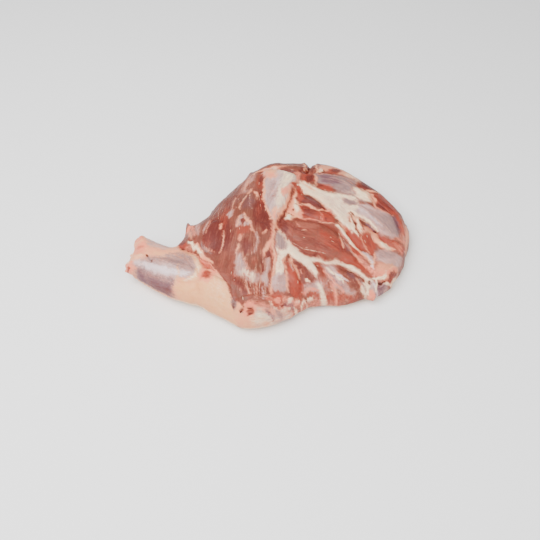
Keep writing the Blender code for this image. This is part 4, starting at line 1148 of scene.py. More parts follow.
def add(tree, kind, values=None, **settings):
    """A new node with these settings; a value may be a number, a colour or another node's socket."""
    node = tree.nodes.new(kind)
    for key, value in settings.items():
        setattr(node, key, value)
    for key, value in (values or {}).items():
        if isinstance(value, bpy.types.NodeSocket):
            tree.links.new(value, node.inputs[key])
        else:
            node.inputs[key].default_value = value
    return node


def maths(tree, operation, a, b=0.0, clamp=False):
    """One sum on two numbers."""
    node = add(tree, "ShaderNodeMath", {0: a, 1: b}, operation=operation, use_clamp=clamp)
    return node.outputs[0]


def mixed(tree, share, a, b):
    """One colour laid over another by a share."""
    return add(tree, "ShaderNodeMix", {0: share, 6: a, 7: b}, data_type="RGBA").outputs[2]


def stepped(tree, value, low, high, to_low=0.0, to_high=1.0):
    """A smooth step of a value between two limits."""
    node = add(
        tree,
        "ShaderNodeMapRange",
        {0: value, 1: low, 2: high, 3: to_low, 4: to_high},
        interpolation_type="SMOOTHSTEP",
    )
    return node.outputs[0]


def noise(tree, vector, scale, detail=2.0, roughness=0.5):
    """A noise texture node."""
    return add(
        tree,
        "ShaderNodeTexNoise",
        {"Vector": vector, "Scale": scale, "Detail": detail, "Roughness": roughness},
    )


def group_of(name, inputs, outputs):
    """An empty shader node group with these sockets."""
    tree = bpy.data.node_groups.new(name, "ShaderNodeTree")
    for label, kind, value in inputs:
        socket = tree.interface.new_socket(label, in_out="INPUT", socket_type=kind)
        if value is not None:
            socket.default_value = value
    for label, kind in outputs:
        tree.interface.new_socket(label, in_out="OUTPUT", socket_type=kind)
    return tree, tree.nodes.new("NodeGroupInput").outputs, tree.nodes.new("NodeGroupOutput").inputs


def frayed_edge_group():
    """A tissue's share, made crisp and uneven at its border."""
    tree, given, result = group_of(
        "frayed_edge",
        [
            ("Share", "NodeSocketFloat", 0.0),
            ("Noise", "NodeSocketFloat", 0.5),
            ("Fray", "NodeSocketFloat", 1.0),
            ("Crisp", "NodeSocketFloat", 1.5),
        ],
        [("Share", "NodeSocketFloat")],
    )
    share = given["Share"]
    border = maths(tree, "MULTIPLY", share, maths(tree, "SUBTRACT", 1.0, share))
    push = maths(tree, "MULTIPLY", maths(tree, "SUBTRACT", given["Noise"], 0.5), given["Fray"])
    pushed = maths(tree, "MULTIPLY_ADD", border, push)
    pushed.node.inputs[2].default_value = 0
    tree.links.new(share, pushed.node.inputs[2])
    kept = maths(tree, "MAXIMUM", pushed, 0.0)
    tree.links.new(maths(tree, "POWER", kept, given["Crisp"]), result["Share"])
    return tree


def mottle_group():
    """Soft blotches and fine grain of one size, for fat, cartilage and sinew."""
    tree, given, result = group_of(
        "mottle",
        [("Vector", "NodeSocketVector", None), ("Size", "NodeSocketFloat", 0.006)],
        [("Blotch", "NodeSocketFloat"), ("Grain", "NodeSocketFloat")],
    )
    scale = maths(tree, "DIVIDE", 1.0, given["Size"])
    blotch = noise(tree, given["Vector"], 1.0, 2.0)
    grain = noise(tree, given["Vector"], 1.0, 3.0, 0.6)
    tree.links.new(scale, blotch.inputs["Scale"])
    tree.links.new(maths(tree, "MULTIPLY", scale, 5.0), grain.inputs["Scale"])
    tree.links.new(stepped(tree, blotch.outputs[0], 0.3, 0.7), result["Blotch"])
    tree.links.new(grain.outputs[0], result["Grain"])
    return tree


def grouped(tree, group, values):
    """A node of this shader group with its inputs set or linked."""
    node = tree.nodes.new("ShaderNodeGroup")
    node.node_tree = group
    for key, value in values.items():
        if isinstance(value, bpy.types.NodeSocket):
            tree.links.new(value, node.inputs[key])
        else:
            node.inputs[key].default_value = value
    return node


def linear(colour):
    """A colour property as a socket's value."""
    return (*colour[:3], 1.0)


def rooted(colour):
    """A colour property's square root, in which tissues mix as evenly as they look."""
    return (*(channel**0.5 for channel in colour[:3]), 1.0)


def new_material(name):
    """An empty node material with its Principled shader."""
    material = bpy.data.materials.new(name)
    material.use_nodes = True
    return material, material.node_tree, material.node_tree.nodes["Principled BSDF"]


def set_wet(shader, roughness, coat, subsurface, radius):
    """Even values of a moist, slightly translucent tissue."""
    shader.inputs["Roughness"].default_value = roughness
    shader.inputs["Specular IOR Level"].default_value = 0.18
    shader.inputs["Coat Weight"].default_value = coat
    shader.inputs["Coat Roughness"].default_value = 0.22
    shader.inputs["Subsurface Weight"].default_value = subsurface
    shader.inputs["Subsurface Radius"].default_value = radius
    shader.inputs["Subsurface Scale"].default_value = 0.003


def meat_material(look):
    """Muscle, fat and silverskin, mixed by the painted shares, with fibres and fine lumps."""
    material, tree, shader = new_material("raw_lamb")
    place = add(tree, "ShaderNodeTexCoord").outputs["Object"]

    def painted_vector(label):
        source = add(tree, "ShaderNodeAttribute", attribute_name=label)
        parts = add(tree, "ShaderNodeSeparateXYZ", {0: source.outputs["Vector"]})
        return [parts.outputs[i] for i in range(3)]

    def three_noises(vector, scale, detail, roughness):
        source = noise(tree, vector, scale, detail, roughness)
        parts = add(tree, "ShaderNodeSeparateColor", {0: source.outputs["Color"]})
        return [parts.outputs[i] for i in range(3)]

    dark_muscle_and_shade, bright, salmon = painted_vector("flesh")
    cream, peach, silver = painted_vector("cover")
    lilac, purple, hole_shade = painted_vector("marks")
    pale_silver_and_sheen, brown, fat = painted_vector("bare")
    marble, hollow, pale = painted_vector("depth")
    grain = add(tree, "ShaderNodeAttribute", attribute_name="grain").outputs["Vector"]

    def along_fibre(stretch):
        return add(tree, "ShaderNodeMapping", {"Vector": grain, "Scale": stretch}).outputs[0]

    fibre = noise(tree, along_fibre((0.04, 0.8, 0.25)), 1.0, 4.0, 0.62).outputs[0]
    bundle = noise(tree, along_fibre((0.03, 0.16, 0.08)), 1.0, 3.0, 0.55).outputs[0]
    streaks = three_noises(along_fibre((0.06, 0.5, 0.28)), 1.0, 3.0, 0.6)
    specks = three_noises(place, 380.0, 3.0, 0.65)
    cloud = noise(tree, place, 95.0, 3.0, 0.6).outputs[0]
    mottle = grouped(tree, bpy.data.node_groups["mottle"], {"Vector": place,
        "Size": look.fat_lump * MM * 2})
    blotch, lumpy = mottle.outputs[0], mottle.outputs[1]
    edge = bpy.data.node_groups["frayed_edge"]

    fatty = cream
    for share in (peach, silver, pale_silver_and_sheen, fat):
        fatty = maths(tree, "ADD", fatty, share, clamp=True)
    thinning = maths(tree, "MULTIPLY", fatty, maths(tree, "SUBTRACT", 1.0, fatty))
    thinning = maths(tree, "MULTIPLY", thinning, 0.7)
    covered = fatty
    for share in (dark_muscle_and_shade, bright, salmon, lilac, purple, hole_shade, brown, pale):
        covered = maths(tree, "ADD", covered, share)
    plain = maths(tree, "SUBTRACT", 1.0, covered, clamp=True)

    fibrous = stepped(tree, fibre, 0.35, 0.65)
    broad = stepped(tree, bundle, 0.36, 0.64)
    cloudy = stepped(tree, cloud, 0.38, 0.62)

    def tinted(share, part, first, second):
        first = first if isinstance(first, bpy.types.NodeSocket) else rooted(first)
        return mixed(tree, maths(tree, "MULTIPLY", share, part), first, rooted(second))

    muscle = tinted(fibrous, 0.45, look.muscle, look.muscle_pale)
    muscle = tinted(broad, 0.55, muscle, look.muscle_brown)
    muscle = tinted(cloudy, 0.35, muscle, look.dark_muscle_and_shade)
    fat_tone = tinted(cloudy, 0.2, tinted(blotch, 0.25, look.cream, look.peach), look.silver)
    # the near-black crease colour is painted shade, the darkest muscle is partly painted shade, and
    # the palest silverskin is partly a painted sheen
    mixes = [
        (dark_muscle_and_shade, tinted(fibrous, 0.25, look.dark_muscle_and_shade, look.muscle), 2.2, 1.5),
        (bright, tinted(broad, 0.4, tinted(fibrous, 0.25, look.bright, look.muscle_pale),
         look.muscle), 2.4, 1.6),
        (maths(tree, "ADD", salmon, thinning), tinted(blotch, 0.3, look.salmon, look.peach),
         2.0, 1.3),
        (cream, fat_tone, 3.0, 1.7),
        (peach, tinted(blotch, 0.3, look.peach, look.salmon), 2.8, 1.6),
        (silver, tinted(broad, 0.4, look.silver, look.lilac), 2.6, 1.5),
        (lilac, tinted(fibrous, 0.25, look.lilac, look.silver), 1.8, 1.3),
        (purple, tinted(fibrous, 0.3, look.purple, look.lilac), 1.8, 1.3),
        (hole_shade, tinted(blotch, 0.2, look.hole_shade, look.dark_muscle_and_shade), 1.6, 1.6),
        (pale_silver_and_sheen, tinted(fibrous, 0.2, look.pale_silver_and_sheen, look.silver), 2.0, 1.5),
        (brown, tinted(fibrous, 0.4, look.muscle_brown, look.muscle), 2.2, 1.5),
        (fat, tinted(cloudy, 0.1, tinted(blotch, 0.5, look.fat, look.peach), look.cream), 2.2, 1.5),
        (pale, tinted(fibrous, 0.4, look.muscle_pale, look.muscle), 1.8, 1.2),
        (plain, muscle, 2.2, 1.6),
    ]
    total, weight = None, None
    for number, (share, tone, fray, crisp) in enumerate(mixes):
        rough = maths(tree, "ADD", streaks[number % 3], specks[(number // 3) % 3])
        rough = stepped(tree, rough, 0.78, 1.22)
        strong = grouped(tree, edge, {"Share": share, "Noise": rough, "Fray": fray,
            "Crisp": crisp}).outputs[0]
        scaled = add(tree, "ShaderNodeVectorMath", {0: tone, "Scale": strong},
            operation="SCALE").outputs[0]
        if total is None:
            total, weight = scaled, strong
        else:
            total = add(tree, "ShaderNodeVectorMath", {0: total, 1: scaled},
                operation="ADD").outputs[0]
            weight = maths(tree, "ADD", weight, strong)
    shared = {0: total, "Scale": maths(tree, "DIVIDE", 1.0, weight)}
    even = add(tree, "ShaderNodeVectorMath", shared, operation="SCALE").outputs[0]

    # marbling over the flesh: broken streaks along the fibres, with soft veils around them
    bare_flesh = maths(tree, "SUBTRACT", 1.0, fatty, clamp=True)
    broken = maths(tree, "ADD", streaks[1], maths(tree, "MULTIPLY", cloud, 0.6))
    streaky = maths(tree, "MULTIPLY", stepped(tree, broken, 0.82, 0.96), 0.85)
    veil = maths(tree, "MULTIPLY", stepped(tree, broken, 0.7, 0.95), 0.3)
    marbling = maths(tree, "MULTIPLY", maths(tree, "MAXIMUM", streaky, veil),
        maths(tree, "MULTIPLY", marble, bare_flesh))
    colour = mixed(tree, marbling, even, rooted(look.streak))
    # painted shade: the colour is darkened towards a dark red in the creases
    shade = mixed(tree, maths(tree, "MULTIPLY", hollow, 0.27), (1, 1, 1, 1), (0.68, 0.46, 0.43, 1))
    colour = add(tree, "ShaderNodeVectorMath", {0: colour, 1: shade},
        operation="MULTIPLY").outputs[0]
    colour = add(tree, "ShaderNodeVectorMath", {0: colour, 1: colour},
        operation="MULTIPLY").outputs[0]
    tree.links.new(colour, shader.inputs["Base Color"])

    ridge = maths(tree, "MULTIPLY", fibre, maths(tree, "ADD", maths(tree, "MULTIPLY", bare_flesh,
        0.8), 0.4))
    lumpy = maths(tree, "MULTIPLY", lumpy, maths(tree, "ADD", fatty, 0.2))
    height = maths(tree, "ADD", maths(tree, "ADD", ridge, lumpy),
        maths(tree, "MULTIPLY", marbling, 0.5))
    bump = add(tree, "ShaderNodeBump", {"Strength": 0.9, "Distance": look.fibre_relief * MM,
        "Height": height})
    tree.links.new(bump.outputs[0], shader.inputs["Normal"])
    dull = stepped(tree, specks[2], 0.35, 0.65, 0.4, 0.6)
    tree.links.new(maths(tree, "SUBTRACT", dull, maths(tree, "MULTIPLY", pale_silver_and_sheen, 0.2)),
        shader.inputs["Roughness"])
    set_wet(shader, 0.45, 0.03, 0.1, (1.0, 0.4, 0.25))
    gloss = maths(tree, "ADD", maths(tree, "MULTIPLY", pale_silver_and_sheen, 0.4), 0.015)
    tree.links.new(gloss, shader.inputs["Coat Weight"])
    return material


def sinew_material(look):
    """Pale strands and flecks of fat in the muscle."""
    material, tree, shader = new_material("sinew")
    place = add(tree, "ShaderNodeTexCoord").outputs["Object"]
    mottle = grouped(tree, bpy.data.node_groups["mottle"], {"Vector": place,
        "Size": look.lump * MM})
    colour = mixed(tree, mottle.outputs[0], linear(look.pale), linear(look.pink))
    tree.links.new(colour, shader.inputs["Base Color"])
    bump = add(tree, "ShaderNodeBump", {"Strength": 0.4, "Distance": 0.0003,
        "Height": mottle.outputs[1]})
    tree.links.new(bump.outputs[0], shader.inputs["Normal"])
    set_wet(shader, 0.45, 0.05, 0.15, (1.0, 0.5, 0.35))
    return material


def bone_material(look):
    """Cream cartilage with pink ends."""
    material, tree, shader = new_material("knuckle_cartilage")
    place = add(tree, "ShaderNodeTexCoord").outputs["Object"]
    blush = add(tree, "ShaderNodeAttribute", attribute_name="blush").outputs["Fac"]
    mottle = grouped(tree, bpy.data.node_groups["mottle"], {"Vector": place, "Size": 0.004})
    uneven = maths(tree, "MULTIPLY_ADD", mottle.outputs[0], 0.5)
    uneven.node.inputs[2].default_value = 0.7
    colour = mixed(tree, maths(tree, "MULTIPLY", blush, uneven, clamp=True),
        linear(look.cartilage), linear(look.blush))
    tree.links.new(colour, shader.inputs["Base Color"])
    bump = add(tree, "ShaderNodeBump", {"Strength": 0.4, "Distance": 0.0004,
        "Height": mottle.outputs[1]})
    tree.links.new(bump.outputs[0], shader.inputs["Normal"])
    set_wet(shader, 0.36, 0.2, 0.15, (1.0, 0.5, 0.35))
    return material


def floor_material(look):
    """A plain pale floor with a faint unevenness."""
    material, tree, shader = new_material("pale_floor")
    place = add(tree, "ShaderNodeTexCoord").outputs["Object"]
    cloudy = noise(tree, place, 3.0, 2.0)
    colour = mixed(tree, maths(tree, "MULTIPLY", cloudy.outputs[0], 0.12), linear(look.floor),
        (0.7, 0.7, 0.7, 1))
    tree.links.new(colour, shader.inputs["Base Color"])
    shader.inputs["Roughness"].default_value = 0.8
    return material


def geometry_tree(name, inputs):
    """An empty geometry node tree with a Geometry input, these named inputs and a Geometry output."""
    tree = bpy.data.node_groups.new(name, "GeometryNodeTree")
    tree.interface.new_socket("Geometry", in_out="INPUT", socket_type="NodeSocketGeometry")
    for label, kind in inputs:
        tree.interface.new_socket(label, in_out="INPUT", socket_type=kind)
    tree.interface.new_socket("Geometry", in_out="OUTPUT", socket_type="NodeSocketGeometry")
    return tree, tree.nodes.new("NodeGroupInput").outputs, tree.nodes.new("NodeGroupOutput").inputs


def named(tree, label, kind):
    """A mesh attribute read inside a geometry node tree."""
    return add(tree, "GeometryNodeInputNamedAttribute", {0: label}, data_type=kind).outputs[0]


def vector_maths(tree, operation, a, b):
    """One sum on two vectors, or on a vector and a scale."""
    second = "Scale" if operation == "SCALE" else 1
    node = add(tree, "ShaderNodeVectorMath", {0: a, second: b}, operation=operation)
    return node.outputs[0]


def strands_tree():
    """Strands that follow the meat's surface: polylines to thin wandering tubes."""
    tree, given, result = geometry_tree(
        "strands",
        [
            ("Meat", "NodeSocketObject"),
            ("Step", "NodeSocketFloat"),
            ("Thickness", "NodeSocketFloat"),
            ("Wander", "NodeSocketFloat"),
            ("Sink", "NodeSocketFloat"),
            ("Material", "NodeSocketMaterial"),
        ],
    )
    meat = add(tree, "GeometryNodeObjectInfo", {0: given["Meat"]}).outputs["Geometry"]
    curves = add(tree, "GeometryNodeMeshToCurve", {0: given["Geometry"]}).outputs[0]
    resampled = add(tree, "GeometryNodeResampleCurve", {0: curves, "Length": given["Step"]},
        mode="LENGTH")
    place = add(tree, "GeometryNodeInputPosition").outputs[0]
    stray = noise(tree, place, 260.0, 2.0).outputs["Color"]
    stray = vector_maths(tree, "SUBTRACT", stray, (0.5, 0.5, 0.5))
    stray = vector_maths(tree, "SCALE", stray, given["Wander"])
    strayed = add(tree, "GeometryNodeSetPosition", {0: resampled.outputs[0],
        "Offset": stray}).outputs[0]

    along = add(tree, "GeometryNodeSplineParameter").outputs[0]
    ends = maths(tree, "MULTIPLY", along, maths(tree, "SUBTRACT", 1.0, along))
    taper = maths(tree, "POWER", maths(tree, "MULTIPLY", ends, 4.0), 0.5)
    uneven = stepped(tree, noise(tree, place, 420.0, 2.0).outputs[0], 0.35, 0.65, 0.35, 1.25)
    radius = maths(tree, "MULTIPLY", named(tree, "strand_radius", "FLOAT"), given["Thickness"])
    radius = maths(tree, "MULTIPLY", maths(tree, "MULTIPLY", radius, taper), uneven)
    radius = maths(tree, "MAXIMUM", radius, 0.00006)

    nearest = add(tree, "GeometryNodeProximity", {0: meat},
        target_element="FACES").outputs["Position"]
    facing = add(tree, "GeometryNodeInputNormal").outputs[0]
    normal = add(tree, "GeometryNodeSampleNearestSurface", {0: meat, 1: facing},
        data_type="FLOAT_VECTOR")
    lift = maths(tree, "MULTIPLY", radius, maths(tree, "MULTIPLY", given["Sink"], -1.0))
    lifted = vector_maths(tree, "ADD", nearest, vector_maths(tree, "SCALE", normal.outputs[0],
        lift))
    laid = add(tree, "GeometryNodeSetPosition", {0: strayed, "Position": lifted}).outputs[0]
    profile = add(tree, "GeometryNodeCurvePrimitiveCircle", {"Resolution": 6, "Radius": 1.0},
        mode="RADIUS")
    tubes = add(
        tree,
        "GeometryNodeCurveToMesh",
        {"Curve": laid, "Profile Curve": profile.outputs[0], "Scale": radius, "Fill Caps": True},
    )
    whole = add(tree, "GeometryNodeRealizeInstances", {0: tubes.outputs[0]}).outputs[0]
    dressed = add(tree, "GeometryNodeSetMaterial", {0: whole,
        "Material": given["Material"]}).outputs[0]
    tree.links.new(dressed, result["Geometry"])
    return tree


def flecks_tree():
    """Small flat flecks of fat, scattered where the marbling is and turned along the fibres."""
    tree, given, result = geometry_tree(
        "flecks",
        [
            ("Meat", "NodeSocketObject"),
            ("Density", "NodeSocketFloat"),
            ("Half Length", "NodeSocketFloat"),
            ("Material", "NodeSocketMaterial"),
        ],
    )
    meat = add(tree, "GeometryNodeObjectInfo", {0: given["Meat"]}).outputs["Geometry"]
    density = maths(tree, "MULTIPLY", named(tree, "fleck_share", "FLOAT"), given["Density"])
    points = add(tree, "GeometryNodeDistributePointsOnFaces", {0: meat, "Density": density,
        "Seed": 7})
    upright = add(
        tree, "FunctionNodeAlignRotationToVector", {"Vector": points.outputs["Normal"]}, axis="Z"
    ).outputs[0]
    along = add(
        tree,
        "FunctionNodeAlignRotationToVector",
        {"Rotation": upright, "Vector": named(tree, "fibre_way", "FLOAT_VECTOR")},
        axis="X",
        pivot_axis="Z",
    ).outputs[0]
    low, high = (0.4, 0.14, 0.08), (2.4, 0.3, 0.13)
    spread = add(tree, "FunctionNodeRandomValue", {0: low, 1: high, "Seed": 3},
        data_type="FLOAT_VECTOR")
    size = vector_maths(tree, "SCALE", spread.outputs[0], given["Half Length"])
    fleck = add(tree, "GeometryNodeMeshUVSphere", {"Segments": 8, "Rings": 4,
        "Radius": 1.0}).outputs[0]
    strewn = add(
        tree,
        "GeometryNodeInstanceOnPoints",
        {"Points": points.outputs[0], "Instance": fleck, "Rotation": along, "Scale": size},
    )
    whole = add(tree, "GeometryNodeRealizeInstances", {0: strewn.outputs[0]}).outputs[0]
    dressed = add(tree, "GeometryNodeSetMaterial", {0: whole,
        "Material": given["Material"]}).outputs[0]
    tree.links.new(dressed, result["Geometry"])
    return tree


def made_plain(context, piece, tree, values):
    """Runs a geometry node tree on a piece and keeps its result as the piece's plain mesh."""
    modifier = piece.modifiers.new(tree.name, "NODES")
    modifier.node_group = tree
    for item in tree.interface.items_tree:
        if item.in_out == "INPUT" and item.name in values:
            modifier[item.identifier] = values[item.name]
    context.view_layer.update()
    graph = context.evaluated_depsgraph_get()
    mesh = bpy.data.meshes.new_from_object(piece.evaluated_get(graph))
    piece.modifiers.clear()
    old, piece.data = piece.data, mesh
    bpy.data.meshes.remove(old)
    mesh.name = piece.name
    if not mesh.polygons:
        raise RuntimeError(f"{piece.name} came out empty")


def colour_property(name, description, value):
    """A linear colour that a user can change."""
    return FloatVectorProperty(
        name=name, description=description, default=value, size=3, min=0, max=1, subtype="COLOR"
    )


class MeatLook(bpy.types.PropertyGroup):
    """Sizes and colours of the meat."""

    stations: IntProperty(name="Stations", description="Sections from shank to blade", default=350)
    top_columns: IntProperty(name="Top columns", description="Points over each section",
        default=200)
    under_columns: IntProperty(name="Under columns", description="Points under each section",
        default=44)
    fibre_relief: FloatProperty(name="Fibre relief",
        description="Height of the fine fibres in mm", default=0.5)
    fat_lump: FloatProperty(name="Fat lump", description="Size of the lumps in the fat in mm",
        default=3.0)
    unevenness: FloatProperty(name="Unevenness", description="Height of the broad lumps in mm",
        default=0.8)
    muscle: colour_property("Muscle", "Plain muscle", (0.200, 0.047, 0.030))
    muscle_pale: colour_property("Pale muscle", "Pale fibres of the muscle", (0.320, 0.084, 0.053))
    muscle_brown: colour_property("Brown muscle", "Drier, browner muscle", (0.136, 0.041, 0.026))
    # Darkest muscle, also the colour of painted shade along creases.
    dark_muscle_and_shade: colour_property("Deep muscle", "Darkest muscle", (0.098, 0.0165, 0.0135))
    bright: colour_property("Bright muscle", "Fresh cut muscle", (0.275, 0.030, 0.016))
    salmon: colour_property("Salmon", "Pink thin fat", (0.760, 0.185, 0.110))
    cream: colour_property("Cream fat", "Thick fat", (0.930, 0.730, 0.460))
    peach: colour_property("Peach fat", "Thin fat", (0.800, 0.330, 0.165))
    silver: colour_property("Silverskin", "Pale silverskin", (0.520, 0.330, 0.300))
    lilac: colour_property("Lilac silverskin", "Silverskin over muscle", (0.205, 0.118, 0.110))
    purple: colour_property("Purple", "Blood under silverskin", (0.118, 0.045, 0.061))
    # Near-black painted shade in the creases, holes and pits.
    hole_shade: colour_property("Crease", "Depth of the creases", (0.045, 0.008, 0.005))
    # Palest silverskin, also a painted sheen along the shank's top.
    pale_silver_and_sheen: colour_property("Pearl", "Brightest silverskin", (0.680, 0.540, 0.560))
    fat: colour_property("Sandy fat", "Dry fat of the shank", (0.780, 0.335, 0.130))
    streak: colour_property("Streak", "Marbling", (0.720, 0.330, 0.190))


class BoneLook(bpy.types.PropertyGroup):
    """Sizes and colours of the knuckle."""

    voxel: FloatProperty(name="Voxel", description="Fineness of the knuckle in mm", default=0.8)
    cartilage: colour_property("Cartilage", "Cream cartilage", (0.880, 0.520, 0.330))
    blush: colour_property("Blush", "Pink ends", (0.640, 0.110, 0.060))


class SinewLook(bpy.types.PropertyGroup):
    """Sizes and colours of the strands and flecks."""

    step: FloatProperty(name="Step", description="Length of each strand's pieces in mm",
        default=1.2)
    thickness: FloatProperty(name="Thickness", description="Strand thickness as a multiple",
        default=0.9)
    wander: FloatProperty(name="Wander", description="How far a strand strays in mm", default=1.6)
    sink: FloatProperty(name="Sink",
        description="How far a strand lies in the meat, of its radius", default=0.6)
    density: FloatProperty(name="Density", description="Flecks per square metre at most",
        default=14000.0)
    fleck: FloatProperty(name="Fleck", description="Half length of a fleck in mm", default=1.3)
    lump: FloatProperty(name="Lump", description="Size of the colour patches in mm", default=3.0)
    pale: colour_property("Pale", "Pale strands", (0.800, 0.430, 0.270))
    pink: colour_property("Pink", "Pinker strands", (0.560, 0.170, 0.105))


class StageLook(bpy.types.PropertyGroup):
    """Floor, light and camera."""

    floor: colour_property("Floor", "Pale floor", (0.82, 0.82, 0.82))
    key: FloatProperty(name="Key light", description="Power of the large soft light in watts",
        default=50.0)
    fill: FloatProperty(name="Fill light", description="Power of the fill light in watts",
        default=12.0)
    sky: FloatProperty(name="Sky", description="Strength of the even light", default=0.42)


class DressMeat(bpy.types.Operator):
    """Lays the muscles, fat and silverskin over the shoulder"""

    bl_idname = "lamb_shoulder.dress_meat"
    bl_label = "Dress the meat"

    def execute(self, context):
        look = context.scene.lamb_meat
        plan, side = plan_of_skin(look.stations, look.top_columns, look.under_columns)
        xy = plan.reshape(-1, 2)
        share, paint_height = painted(xy)
        grid, widest, relief = skin(plan, side, paint_height, 3.0)
        places = grid.reshape(-1, 3)
        side = side.reshape(-1)

        # below the widest line the fat cover takes over, with thinner, pinker places in it
        shin = ease((-108 - places[:, 0]) / 10)
        ragged = (lumps(places, 14, 31) * 3 + lumps(places, 5, 32) * 1.5) * (1 - 0.8 * shin)
        bare = ease((places[:, 0] - 24) / 14) * ease((116 - places[:,
            0]) / 8) * ease((-60 - places[:, 1]) / 10)
        below = np.where(side > 0, widest * (0.9 - 0.6 * bare) - places[:, 2], widest)
        cover = ease((below + ragged - 3 * shin) / 5)
        thin = ease((lumps(places, 34, 33) + 0.35 * lumps(places, 12, 34) - 0.12) / 0.5)
        for name in share:
            share[name] = share[name] * (1 - cover)
        share["cream"] += cover * (1 - 0.75 * thin) * (0.75 - 0.35 * shin)
        share["peach"] += cover * (1 - 0.35 * thin) * (0.25 + 0.35 * shin)
        share["marble"] = np.maximum(share["marble"], 0.12) * (1 - cover)

        grain, turn = fibre_frame(places)
        fleshy = 1 - np.clip(sum(share[name] for name in FATTY) + share["hole_shade"], 0, 1)
        fleck_share = fleshy * np.clip(share["marble"], 0.02, 1) * (side > 0) * (places[:,
            0] > -100)
        # painted shade: the top's colour darkens where its relief lies below what is around it
        share["hollow"] = hollow_of(relief).reshape(-1) * (side > 0)
        normal = grid_normals(grid).reshape(-1, 3)
        outward = np.sign((normal * (places - places.mean(axis=0))).sum())
        normal *= outward
        soft = np.clip(sum(share[name] for name in FATTY), 0, 1)
        rise = look.unevenness * lumps(places, 19, 21)
        rise += 0.32 * (1 - soft) * lumps(grain, (16, 2.9, 5), 22)
        rise += 0.25 * (1 - soft) * lumps(grain, (26, 6.5, 9), 23)
        fat = np.clip(share["cream"] + share["peach"] + share["fat"], 0, 1)
        rise += fat * (0.35 * lumps(places, 4.6, 24) + 0.2 * lumps(places, 2.6, 26))
        rise += 0.2 * soft * lumps(places, 9, 25) + 0.35 * share["fat"] * lumps(places, 3.4, 27)
        firm = ease(places[:, 2] / 4)
        places = places + normal * (rise * firm)[:, None]
        places[:, 2] = np.maximum(places[:, 2], 0)
        grid = places.reshape(grid.shape)

        shape = grid.shape[:2]

        def layers(*names):
            return np.stack([share[name].reshape(shape) for name in names], axis=-1)

        vectors = {
            "flesh": layers("dark_muscle_and_shade", "bright", "salmon"),
            "cover": layers("cream", "peach", "silver"),
            "marks": layers("lilac", "purple", "hole_shade"),
            "bare": layers("pale_silver_and_sheen", "brown", "fat"),
            "depth": layers("marble", "hollow", "pale"),
            "grain": grain.reshape(*shape, 3),
            "fibre_way": np.stack([np.cos(turn), np.sin(turn),
                0 * turn], axis=-1).reshape(*shape, 3),
        }
        meat = closed_grid("dressed_meat", grid, {"fleck_share": fleck_share.reshape(shape)},
            vectors)
        meat.data.materials.append(meat_material(look))
        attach(meat, "root")
        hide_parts("shoulder_meat")
        return {"FINISHED"}


class DressSinew(bpy.types.Operator):
    """Lays the pale strands along the seams and the flecks of fat in the marbling"""

    bl_idname = "lamb_shoulder.dress_sinew"
    bl_label = "Dress the strands and flecks"

    def execute(self, context):
        look = context.scene.lamb_sinew
        meat = bpy.data.objects.get("dressed_meat")
        if meat is None:
            raise RuntimeError("The meat is dressed before its strands")
        material = sinew_material(look)
        points, edges, radii = [], [], []
        for radius, line in STRANDS:
            steps = max(4, 4 * (len(line) - 1) + 1)
            xy = smooth_curve(line, np.linspace(0, len(line) - 1, steps))
            spots, _, _ = skin(xy[:, None], np.ones((steps, 1)), np.zeros(steps), 3.0)
            edges += [(len(points) + i, len(points) + i + 1) for i in range(steps - 1)]
            points += laid_down(spots.reshape(-1, 3)).tolist()
            radii += [radius * MM] * steps
        mesh = bpy.data.meshes.new("sinew_strands")
        mesh.from_pydata(points, edges, [])
        mesh.attributes.new("strand_radius", "FLOAT", "POINT").data.foreach_set("value", radii)
        strands = bpy.data.objects.new("sinew_strands", mesh)
        flecks = bpy.data.objects.new("fat_flecks", bpy.data.meshes.new("fat_flecks"))
        wanted = (
            (strands, strands_tree(), {
                "Meat": meat,
                "Step": look.step * MM,
                "Thickness": look.thickness,
                "Wander": look.wander * MM,
                "Sink": look.sink,
                "Material": material,
            }),
            (flecks, flecks_tree(), {
                "Meat": meat,
                "Density": look.density,
                "Half Length": look.fleck * MM,
                "Material": material,
            }),
        )
        for piece, tree, values in wanted:
            context.scene.collection.objects.link(piece)
            made_plain(context, piece, tree, values)
            piece.data.shade_smooth()
            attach(piece, "root")
        return {"FINISHED"}


